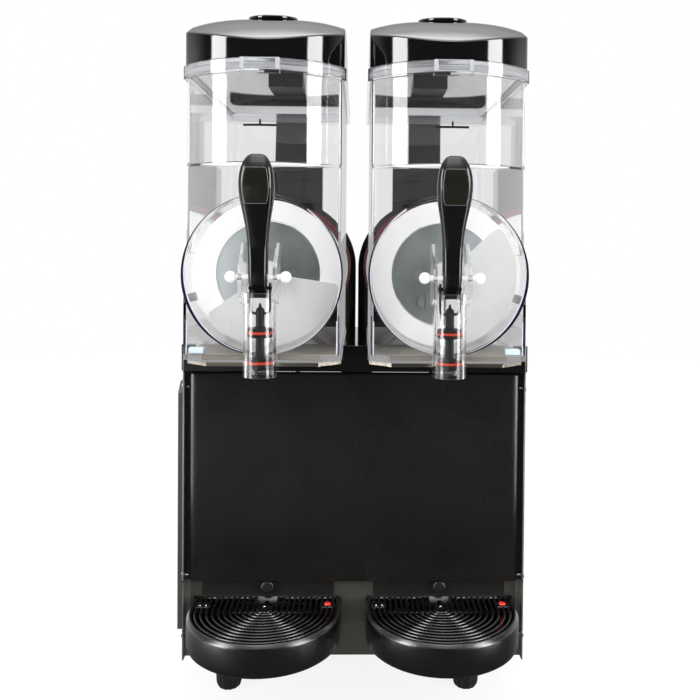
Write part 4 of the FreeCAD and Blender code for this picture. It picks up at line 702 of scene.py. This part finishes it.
def make_tray(side, middle):
    """Tray: a rolled rim and rounded foot swept round its front, with a floor and a back wall."""
    outer = 0.0865
    back = -0.1188
    section = [
        (0.0105, 0.0980), (0.0060, 0.0980), (0.0032, 0.0987), (0.0012, 0.1003), (0.0003, 0.1030), (0.0, 0.1090),
        (0.0, 0.1288), (0.0003, 0.1299), (0.0009, 0.1309), (0.0016, 0.1318), (0.0023, 0.1327), (0.0029, 0.1335),
        (0.0034, 0.1339), (0.0037, 0.1340), (0.0039, 0.1335), (0.0039, 0.1322), (0.0031, 0.1306), (0.0026, 0.1140),
        (0.0030, 0.1015), (0.0060, 0.1005), (0.0105, 0.1005),
    ]
    columns = [[(middle + x, y, z) for x, y in tray_path(outer - inset, back)] for inset, z in section]
    skirt = loft([list(row) for row in zip(*columns)])
    base = loft([[(middle + x, y, z) for x, y in tray_path(outer - 0.010, back)] for z in (0.0981, 0.1004)])
    wall = block((middle - outer + 0.0004, back - 0.0025, 0.0985), (middle + outer - 0.0004, back, 0.1336))
    form = joined_parts(skirt, base, wall)
    piece(f"{side}_tray_shell", *form, f"{side}_tray", TRAY, "satin_black", [f"{side}_drip_tray"])


def rib_path(radius, back):
    straight = [back + (TRAY_Y - back) * i / 3 for i in range(3)]
    front = arc((0.0, TRAY_Y), radius, math.pi, 2 * math.pi, 40)
    return [(-radius, y) for y in straight] + front + [(radius, y) for y in reversed(straight)]


def make_grille(side, middle):
    """Rounded ribs round a solid hub, carried by two bars, with two pads and three studs."""
    body = f"{side}_grille"
    back = -0.1217
    top, low = 0.1338, 0.1281
    core = top - 0.0021
    ribs = [(0.01945 + 0.0064 * number, 0.00165) for number in range(-1, 10)] + [(0.0820, 0.0017)]
    parts = []
    for radius, half in ribs:
        path = [(middle + x, y, core) for x, y in rib_path(radius, back)]
        parts.append(bent_bar(path, half, 0.0021, sides=14, square=2.3))
    parts.append(loft([
        [(middle + x, y, top - drop) for x, y in rib_path(0.0096 - inset, -0.1430)]
        for drop, inset in ((0.0045, 0.0), (0.0012, 0.0), (0.0004, 0.0004), (0.0, 0.0014))
    ]))
    for sign in (-1, 1):
        ends = [(middle + sign * far, back - 0.0012, core) for far in (0.0830, 0.0115)]
        parts.append(bent_bar(ends, 0.0016, 0.0021, sides=14, square=2.6))
    bars = [
        block((middle - 0.0023, TRAY_Y - 0.082, low - 0.003), (middle + 0.0023, back - 0.003, low + 0.0022)),
        block((middle - 0.082, TRAY_Y - 0.0023, low - 0.003), (middle + 0.082, TRAY_Y + 0.0023, low + 0.0022)),
    ]
    for sign in (-1, 1):
        parts.append(loft([
            [(middle + sign * FLOAT_SIDE + x, FLOAT_Y + y, top + 0.0002 - drop)
             for x, y in rounded_ring(0.0090 - inset, 0.0070 - inset, 5, 28)]
            for drop, inset in ((0.0042, 0.0), (0.0010, 0.0), (0.0003, 0.0004), (0.0, 0.0012))
        ]))
    form = joined_parts(*parts, *bars)
    piece(f"{side}_grille_ribs", *form, body, TRAY, "satin_black", [f"{side}_tray_grille"])
    stud = [(0.0014, 0.1330), (0.0014, 0.13425), (0.0010, 0.1346), (0.0004, 0.1347)]
    for number, (x, y) in enumerate(((-0.0745, -0.1445), (-0.0675, -0.1443), (-0.0005, -0.1475))):
        form = lathe(stud, (middle + x, y, 0), "z", 20)
        piece(f"{side}_grille_stud_{number}", *form, body, SCREW, "screw_steel")


def make_float(side, middle):
    profile = [
        (0.0080, 0.1008), (0.0082, 0.1014), (0.0082, 0.1052), (0.0078, 0.1058), (0.0028, 0.1060), (0.0025, 0.1072),
        (0.0025, 0.1286), (0.0030, 0.1290), (0.0038, 0.1293), (0.0040, 0.1300), (0.0040, 0.1338), (0.0038, 0.1349),
        (0.0031, 0.1356), (0.0020, 0.1360), (0.0008, 0.1361),
    ]
    form = lathe(profile, (middle + FLOAT_SIDE, FLOAT_Y, 0), "z", 36)
    piece(f"{side}_float_button", *form, f"{side}_float", FLOAT, "red_plastic", [f"{side}_tray_float"])


def make_feet():
    """Feet with upright flutes and a scalloped toe."""
    profile = [
        (0.0122, 0.0, 0.06), (0.0136, 0.0012, 0.09), (0.0150, 0.0040, 0.10), (0.0158, 0.0080, 0.09),
        (0.0163, 0.0200, 0.08), (0.0167, 0.0380, 0.07), (0.0170, 0.0500, 0.06), (0.0171, 0.0546, 0.0),
        (0.0179, 0.0550, 0.0), (0.0180, 0.0556, 0.0), (0.0180, 0.0625, 0.0), (0.0178, 0.0630, 0.0),
    ]
    places = [(x, y, 0) for y in (-0.0685, 0.2075) for x in (-0.1533, 0.1397)]

    def flute(turn):
        return 1 - abs(math.sin(turn * 6)) ** 0.55

    parts = [lathe(profile, place, "z", 96, flute) for place in places]
    piece("fluted_feet", *joined_parts(*parts), "cabinet", RUBBER, "foot_rubber", ["feet"])


def make_thumbscrews():
    profile = [
        (0.0050, -0.1188, 0.0), (0.0050, -0.1200, 0.0), (0.0066, -0.1204, 0.0), (0.0074, -0.1207, 0.06),
        (0.0078, -0.1212, 0.10), (0.0078, -0.1250, 0.10), (0.0075, -0.1262, 0.08), (0.0066, -0.1270, 0.03),
        (0.0050, -0.1274, 0.0),
    ]

    def knurl(turn):
        return 0.5 - 0.5 * math.cos(turn * 12)

    parts = [lathe(profile, (x, 0, 0.1465), "y", 96, knurl) for x in SIDES.values()]
    piece("knurled_thumbscrews", *joined_parts(*parts), "cabinet", SATIN, "satin_black", ["panel_thumbscrews"])


def make_front_panel():
    """The smooth front panel: its two upright edges are rolled back."""
    low, high, half = 0.1542, 0.3978, 0.191
    radius, start = 0.0180, math.radians(31.0)
    path = [(-half, -0.1202)]
    for i in range(12):
        turn = start * (1 - i / 11)
        path.append((-half + radius * (math.sin(start) - math.sin(turn)), -0.1285 + radius * (1 - math.cos(turn))))
    wide = radius * math.sin(start)
    path += [(-half + wide + (2 * half - 2 * wide) * i / 24, -0.1285) for i in range(1, 24)]
    path += [(-x, y) for x, y in reversed(path[:13])]
    rings = []
    for z, inset in ((low, 0.0008), (low + 0.0003, 0.0003), (low + 0.0008, 0.0), (0.5 * (low + high), 0.0),
                     (high - 0.0030, 0.0), (high - 0.0018, 0.0003), (high - 0.0008, 0.0009), (high, 0.0020)):
        rings.append([(x * (1 - inset / half), y + (inset if y < -0.125 else 0.0), z) for x, y in path])
    piece("front_skin", *loft(rings), "cabinet", FRONT, "front_steel", ["front_panel"])


def bow_section(middle, x, low, high, gap):
    """Section of a thin strip on the tank's bowed front, at that distance across."""
    y = BOW_Y - gap + BOW_RADIUS - math.sqrt(BOW_RADIUS ** 2 - x ** 2)
    corners = ((y, low), (y - 0.0004, low + 0.0002), (y - 0.0004, high - 0.0002), (y, high))
    return [(middle + x, far, z) for far, z in corners]


def make_level_mark(side, middle):
    """The bar on the bowl that shows how far it is filled, with a tick above it."""
    shapes = []
    for left, right, low, high in ((-0.0178, 0.0172, 0.6693, 0.6717), (-0.0010, 0.0010, 0.6717, 0.6765)):
        places = [left + (right - left) * i / 12 for i in range(13)]
        shapes.append(loft([bow_section(middle, x, low, high, 0.0002) for x in places]))
    piece(f"{side}_level_mark", *joined_parts(*shapes), f"{side}_bowl", MARK, "gloss_black", smooth=False)


def make_hanger(side, middle):
    """Plate on the plinth that the tray hangs against."""
    plate = block((middle - 0.0775, -0.1194, 0.1346), (middle + 0.0775, -0.1184, 0.1538))
    crisp(piece(f"{side}_hanger_plate", *plate, "cabinet", STEEL, "black_steel", smooth=False), 0.0003)


def make_corner_highlight_beads():
    """Folded edges down the cabinet's front corners, their grey a painted highlight."""
    beads = [
        lathe([(0.0003, 0.1560), (0.0009, 0.1566), (0.0009, 0.3974), (0.0003, 0.3980)], (x, -0.1304, 0), "z", 16)
        for x in (-0.1976, 0.1976)
    ]
    piece("cabinet_corner_highlight_beads", *joined_parts(*beads), "cabinet", HIGHLIGHT_GREY, "black_steel")


# ---------------------------------------------------------------- augers and base trims

def turned(x, y, z, middle, degrees):
    """A point of the auger's own section, turned about the drum's axis."""
    angle = math.radians(degrees)
    c, s = math.cos(angle), math.sin(angle)
    return (middle + x * c - z * s, y, DRUM_Z + x * s + z * c)


def make_auger(side, middle, turn):
    """Screw with a closed ring at its front, and a scraping fan in front of the ring."""
    body = f"{side}_auger"
    inner, outer, thick, pitch, turns = 0.0601, 0.0831, 0.0030, 0.096, 2.9
    front = -0.1483
    rings = []
    for i in range(210):
        a = 2 * math.pi * turns * i / 209
        y = front + 0.0032 + pitch * a / (2 * math.pi)
        rings.append([
            turned(r * math.cos(a), y + far, -r * math.sin(a), middle, turn)
            for r, far in ((inner, 0.0), (outer, 0.0004), (outer, thick - 0.0004), (inner, thick))
        ])
    section = (
        (inner, -0.1449), (inner + 0.0006, -0.1452), (outer - 0.0008, -0.1452), (outer, -0.1447), (outer, -0.1422),
        (inner, -0.1422),
    )
    band = []
    for i in range(96):
        a = 2 * math.pi * i / 96
        band.append([(middle + r * math.cos(a), y, DRUM_Z + r * math.sin(a)) for r, y in section])
    form = joined_parts(loft(rings), loft(band + [band[0]], caps=False))
    crisp(piece(f"{side}_auger_screw", *form, body, RING_WHITE_GLOW, "white", [f"{side}_auger"]), 0.0004, 50)

    half, quarter = math.radians(69.0), math.pi / 2
    corner = 0.0065
    reach = outer - 0.0006
    hub = reach - corner
    lean = math.asin(corner / hub)
    base = half - lean
    low, high = ((hub * math.cos(a), hub * math.sin(a)) for a in (-base, base))
    outline = [(0.0, 0.0)] + arc(low, corner, -half - quarter, lean - half, 8)
    outline += arc((0.0, 0.0), reach, -base, base, 40, 1)[:-1]
    outline += arc(high, corner, base, base + quarter + lean, 8)
    plate = loft([[turned(x, y, z, middle, turn) for x, z in outline] for y in (front, front + 0.0029)])
    profile = [
        (0.0060, -0.0198), (0.0079, -0.0200), (0.0090, -0.0196), (0.0138, -0.0124), (0.0148, -0.0110),
        (0.0150, -0.0004), (0.0150, 0.0028), (0.0061, 0.0028),
    ]
    nut = lathe(profile, (middle, front, DRUM_Z), "y", 40)
    crisp(piece(f"{side}_auger_fan", *joined_parts(plate, nut), body, FAN_WHITE_GLOW, "white"), 0.0007, segments=3)


def make_base_trim(side, middle):
    """Brushed sheets on the bowl's base plate, strips along its front edge, and a pale seat block."""
    body = f"{side}_bowl"
    sheets, strips = [], []
    for sign in (-1, 1):
        a, b = sorted((sign * 0.0175, sign * 0.0800))
        sheets.append(block((middle + a, -0.1960, 0.42705), (middle + b, -0.1000, 0.42765)))
        a, b = sorted((sign * 0.0180, sign * 0.0630))
        strips.append(block((middle + a, -0.1983, 0.4226), (middle + b, -0.19755, 0.4268)))
    sheet = piece(f"{side}_base_sheet", *joined_parts(*sheets), body, SHEET, "stainless", smooth=False)
    crisp(sheet, 0.0002)
    strip = piece(f"{side}_base_strip", *joined_parts(*strips), body, SHEET_EDGE, "stainless", smooth=False)
    crisp(strip, 0.0002)
    a, b = sorted(math.copysign(far, middle) for far in (0.0790, 0.0625))
    seat = block((middle + a, -0.1915, 0.42770), (middle + b, -0.1800, 0.4345))
    crisp(piece(f"{side}_seat_block", *seat, body, PALE_BLUE, "clear", smooth=False), 0.0012, segments=3)


def make_clip(side, middle):
    """End blocks and ridges of the catch on the collar's front."""
    body = f"{side}_bowl"
    front = -0.2226
    ends, bars = [], []
    for sign in (-1, 1):
        a, b = sorted((sign * 0.0162, sign * 0.0206))
        ends.append(block((middle + a, front - 0.0012, 0.7268), (middle + b, front + 0.0022, 0.7392)))
    for z in (0.7274, 0.7330, 0.7386):
        low, high = (middle - 0.0160, front - 0.0006, z - 0.0004), (middle + 0.0160, front + 0.0010, z + 0.0004)
        bars.append(block(low, high))
    blocks = piece(f"{side}_catch_ends", *joined_parts(*ends), body, CATCH, "clear", smooth=False)
    crisp(blocks, 0.0008, segments=3)
    ridges = piece(f"{side}_catch_frame", *joined_parts(*bars), body, CATCH, "clear", smooth=False)
    crisp(ridges, 0.0002)


def make_ledge_highlight(side, middle):
    """Frosted lens-shaped band along the tank's step, a painted highlight."""
    half, step_z = 0.064, 0.6315
    rings = []
    for i in range(41):
        x = -half + 2 * half * i / 40
        swell = (1 - (x / half) ** 2) ** 0.6 if abs(x) < half else 0.0
        rings.append(bow_section(middle, x, step_z - 0.0042 * swell - 0.0003, step_z + 0.0002, 0.0001))
    piece(f"{side}_ledge_highlight", *loft(rings), f"{side}_bowl", FROST_HIGHLIGHT, "clear")


def ring_strip(y, outer, inner, first, last):
    """A flat strip between two outlines given by angle, round the drum's axis at x = 0."""
    rings = []
    for i in range(73):
        a = math.radians(first + (last - first) * i / 72)
        corners = ((inner(a), y), (outer(a), y), (outer(a), y - 0.0005), (inner(a), y - 0.0005))
        rings.append([(r * math.cos(a), far, DRUM_Z + r * math.sin(a)) for r, far in corners])
    return loft(rings)


def make_edges(side, middle):
    """Painted edges of the drum and its legs, with dark indigo strips for painted shade and pale strips for painted
    highlight lines, and frosted beads down the tank's corners as painted highlights.
    """
    body = f"{side}_bowl"
    y = -0.1926
    rim = 0.0869
    facing = -1 if side == "right" else 1
    dark, pale, beads = [], [], []
    # Each strip swells towards one side, where the painted shade and highlight are widest.
    for first, last, slim, thick in ((105, 268, 0.0006, 0.0024), (-78, 62, 0.0005, 0.0013)):
        def swell(a, slim=slim, thick=thick, mid=math.radians((first + last) / 2 + 12)):
            return slim + thick * max(0.0, math.cos(a - mid)) ** 3

        for kind, outer, inner, ends in (
            (dark, lambda a: rim, lambda a, f=swell: rim - f(a), 0),
            (pale, lambda a, f=swell: rim - 0.0002 - f(a), lambda a, f=swell: rim - 0.0006 - 1.3 * f(a), 14),
        ):
            verts, faces = ring_strip(y, outer, inner, first + ends, last - ends)
            kind.append(([Vector((middle + facing * v[0], v[1], v[2])) for v in verts], faces))
    for sign in (-1, 1):
        x = middle + sign * 0.0828
        dark.append(block((x - 0.0006, y - 0.0005, 0.4280), (x + 0.0006, y, 0.4700)))
        x = middle + sign * 0.0806
        pale.append(block((x - 0.0005, y - 0.0004, 0.4280), (x + 0.0005, y, 0.4640)))
        for x, far, low, high in ((0.0818, -0.1771, 0.6330, 0.7254), (0.0822, -0.1822, 0.5600, 0.6300)):
            profile = [
                (0.0003, low), (0.0010, low + 0.0010), (0.0012, low + 0.0030), (0.0012, high - 0.0030),
                (0.0010, high - 0.0010), (0.0003, high),
            ]
            beads.append(lathe(profile, (middle + sign * x, far, 0), "z", 12))
    piece(f"{side}_painted_shade_edges", *joined_parts(*dark), body, INDIGO_SHADE, "clear", smooth=False)
    piece(f"{side}_painted_highlight_edges", *joined_parts(*pale), body, LAVENDER_HIGHLIGHT, "clear", smooth=False)
    # Frosted beads down the tank's corners: painted highlights.
    piece(f"{side}_corner_highlight_beads", *joined_parts(*beads), body, FROST_HIGHLIGHT, "clear")


def make_contact(side, middle):
    """Slotted bracket that stands on the front edge of the column's top."""
    parts = []
    for x, half in ((-0.0210, 0.0012), (-0.0060, 0.0008), (0.0050, 0.0008), (0.0130, 0.0008), (0.0215, 0.0012)):
        parts.append(block((middle + x - half, 0.1530, 0.7366), (middle + x + half, 0.1560, 0.7620)))
    for z, half in ((0.7380, 0.0014), (0.7500, 0.0008), (0.7610, 0.0014)):
        parts.append(block((middle - 0.0222, 0.1528, z - half), (middle + 0.0227, 0.1562, z + half)))
    bracket = piece(f"{side}_lamp_contact", *joined_parts(*parts), "cabinet", GREY, "grey_plastic", smooth=False)
    crisp(bracket, 0.0004)


# ---------------------------------------------------------------- camera, light and floor

def make_camera():
    data = bpy.data.cameras.new("camera")
    data.lens = 40.733
    data.sensor_width = 36.0
    data.shift_x = -0.0386
    data.shift_y = -0.127
    data.clip_end = 30.0
    item = bpy.data.objects.new("camera", data)
    pitch, yaw, roll = (math.radians(v) for v in (1.051, -1.191, 0.485))
    forward = Vector((-math.sin(yaw) * math.cos(pitch), math.cos(yaw) * math.cos(pitch), -math.sin(pitch)))
    right = Vector((math.cos(yaw), math.sin(yaw), 0))
    up = right.cross(forward)
    across = math.cos(roll) * right + math.sin(roll) * up
    upward = across.cross(forward)
    lean = Matrix((across, upward, -forward)).transposed().to_4x4()
    item.matrix_world = Matrix.Translation((0.0052, -1.0449, 0.5448)) @ lean
    bpy.context.scene.collection.objects.link(item)
    bpy.context.scene.camera = item


def make_lamp(name, place, target, wide, high, power):
    data = bpy.data.lights.new(name, "AREA")
    data.shape = "RECTANGLE"
    data.size = wide
    data.size_y = high
    data.energy = power
    item = bpy.data.objects.new(name, data)
    item.location = place
    item.rotation_euler = (Vector(target) - Vector(place)).to_track_quat("-Z", "Y").to_euler()
    item.visible_glossy = False
    item.visible_transmission = False
    item.visible_camera = False
    bpy.context.scene.collection.objects.link(item)


def make_world():
    """White surroundings. Gloss sees a dark room in front with two tall soft boxes, and white behind and above."""
    world = bpy.data.worlds.new("studio")
    world.use_nodes = True
    bpy.context.scene.world = world
    made = Graph(world.node_tree)
    times, plus, step = made.times, made.plus, made.step
    lit, box_in_gloss, box_through_clear = 0.75, 14.0, 2.0

    def pick(flag, first, second):
        """The second value where the ray has that flag."""
        return made.fill(made.add("ShaderNodeMix", data_type="FLOAT"), (0, flag), (2, first), (3, second))

    x, y, z = made.axes(made.add("ShaderNodeTexCoord").outputs["Generated"])
    boxes = times(made.soft_boxes(x, y, 1.0), step(z, -0.62, -0.55))
    boxes = times(boxes, step(z, 0.62, 0.70, 1.0, 0.0))
    behind = step(y, -0.25, 0.25)
    room = plus(times(behind, 0.97), 0.03)
    above = times(step(z, 0.40, 1.0, 0.0, 1.5), step(y, -0.86, -0.66))
    crown = times(step(z, 0.70, 0.86, 0.0, 2.8), step(made.maths("ABSOLUTE", x), 0.10, 0.35, 1.0, 0.0))
    room = plus(times(room, step(z, 0.1, 0.4, 1.0, 0.42)), plus(above, crown))
    gloss = plus(room, times(boxes, box_in_gloss))
    through = plus(plus(times(behind, 0.56), 0.30), times(boxes, box_through_clear))
    path = made.add("ShaderNodeLightPath").outputs
    level = pick(path["Is Glossy Ray"], lit, gloss)
    level = pick(path["Is Transmission Ray"], level, through)
    level = pick(path["Is Camera Ray"], level, 1.0)
    made.fill(made.nodes["Background"], ("Color", (1, 1, 1)), ("Strength", level))


def make_floor():
    """Pale floor. Gloss sees it dark in front of the machine and white behind it.

    For gloss the soft boxes carry on over the floor, and its left side is paler.
    """
    mesh = bpy.data.meshes.new("floor")
    form = bmesh.new()
    bmesh.ops.create_circle(form, cap_ends=True, segments=96, radius=3.2)
    form.to_mesh(mesh)
    form.free()
    item = bpy.data.objects.new("floor", mesh)
    bpy.context.scene.collection.objects.link(item)
    made = Surface("floor_white", (0.88, 0.88, 0.88), 0.9, Specular_IOR_Level=0.0)
    times, plus, step = made.times, made.plus, made.step
    path = made.add("ShaderNodeLightPath").outputs
    gloss = path["Is Glossy Ray"]
    x, y, _ = made.axes(made.place)
    dim = times(gloss, step(y, -0.2, 0.5, 0.93, 0.05))
    boxes = times(made.soft_boxes(x, y, 5.0), step(made.maths("ABSOLUTE", x), 0.60, 0.75))
    seen = times(plus(boxes, step(x, -0.90, -0.20, 0.60, 0.0)), gloss)
    level = times(made.maths("SUBTRACT", 1.0, dim), 1.08)
    flag = made.maths("SUBTRACT", 1.0, path["Is Diffuse Ray"])
    share = times(plus(0.8, times(gloss, 0.2)), flag)
    both = made.mixed(share, made.bsdf.outputs[0], made.emission(Strength=plus(level, seen)))
    made.link(both, made.nodes["Material Output"].inputs["Surface"])
    mesh.materials.append(made.mat)


make_front_panel()
make_feet()
make_thumbscrews()
make_corner_highlight_beads()
for side, middle in SIDES.items():
    make_lid(side, middle)
    make_lever(side, middle)
    make_piston(side, middle)
    make_tray(side, middle)
    make_grille(side, middle)
    make_float(side, middle)
    make_level_mark(side, middle)
    make_auger(side, middle, FAN_TURNS[side])
    make_base_trim(side, middle)
    make_clip(side, middle)
    make_ledge_highlight(side, middle)
    make_edges(side, middle)
    make_contact(side, middle)
    make_hanger(side, middle)
make_camera()
make_lamp("soft_left", (-1.9, -1.4, 1.1), (0, 0, 0.45), 0.8, 1.8, 32)
make_lamp("soft_right", (1.9, -1.4, 1.1), (0, 0, 0.45), 0.8, 1.8, 32)
make_lamp("soft_top", (0.0, -0.6, 2.4), (0, 0, 0.5), 1.6, 1.6, 20)
make_world()
make_floor()
bpy.context.scene.view_settings.view_transform = "Standard"
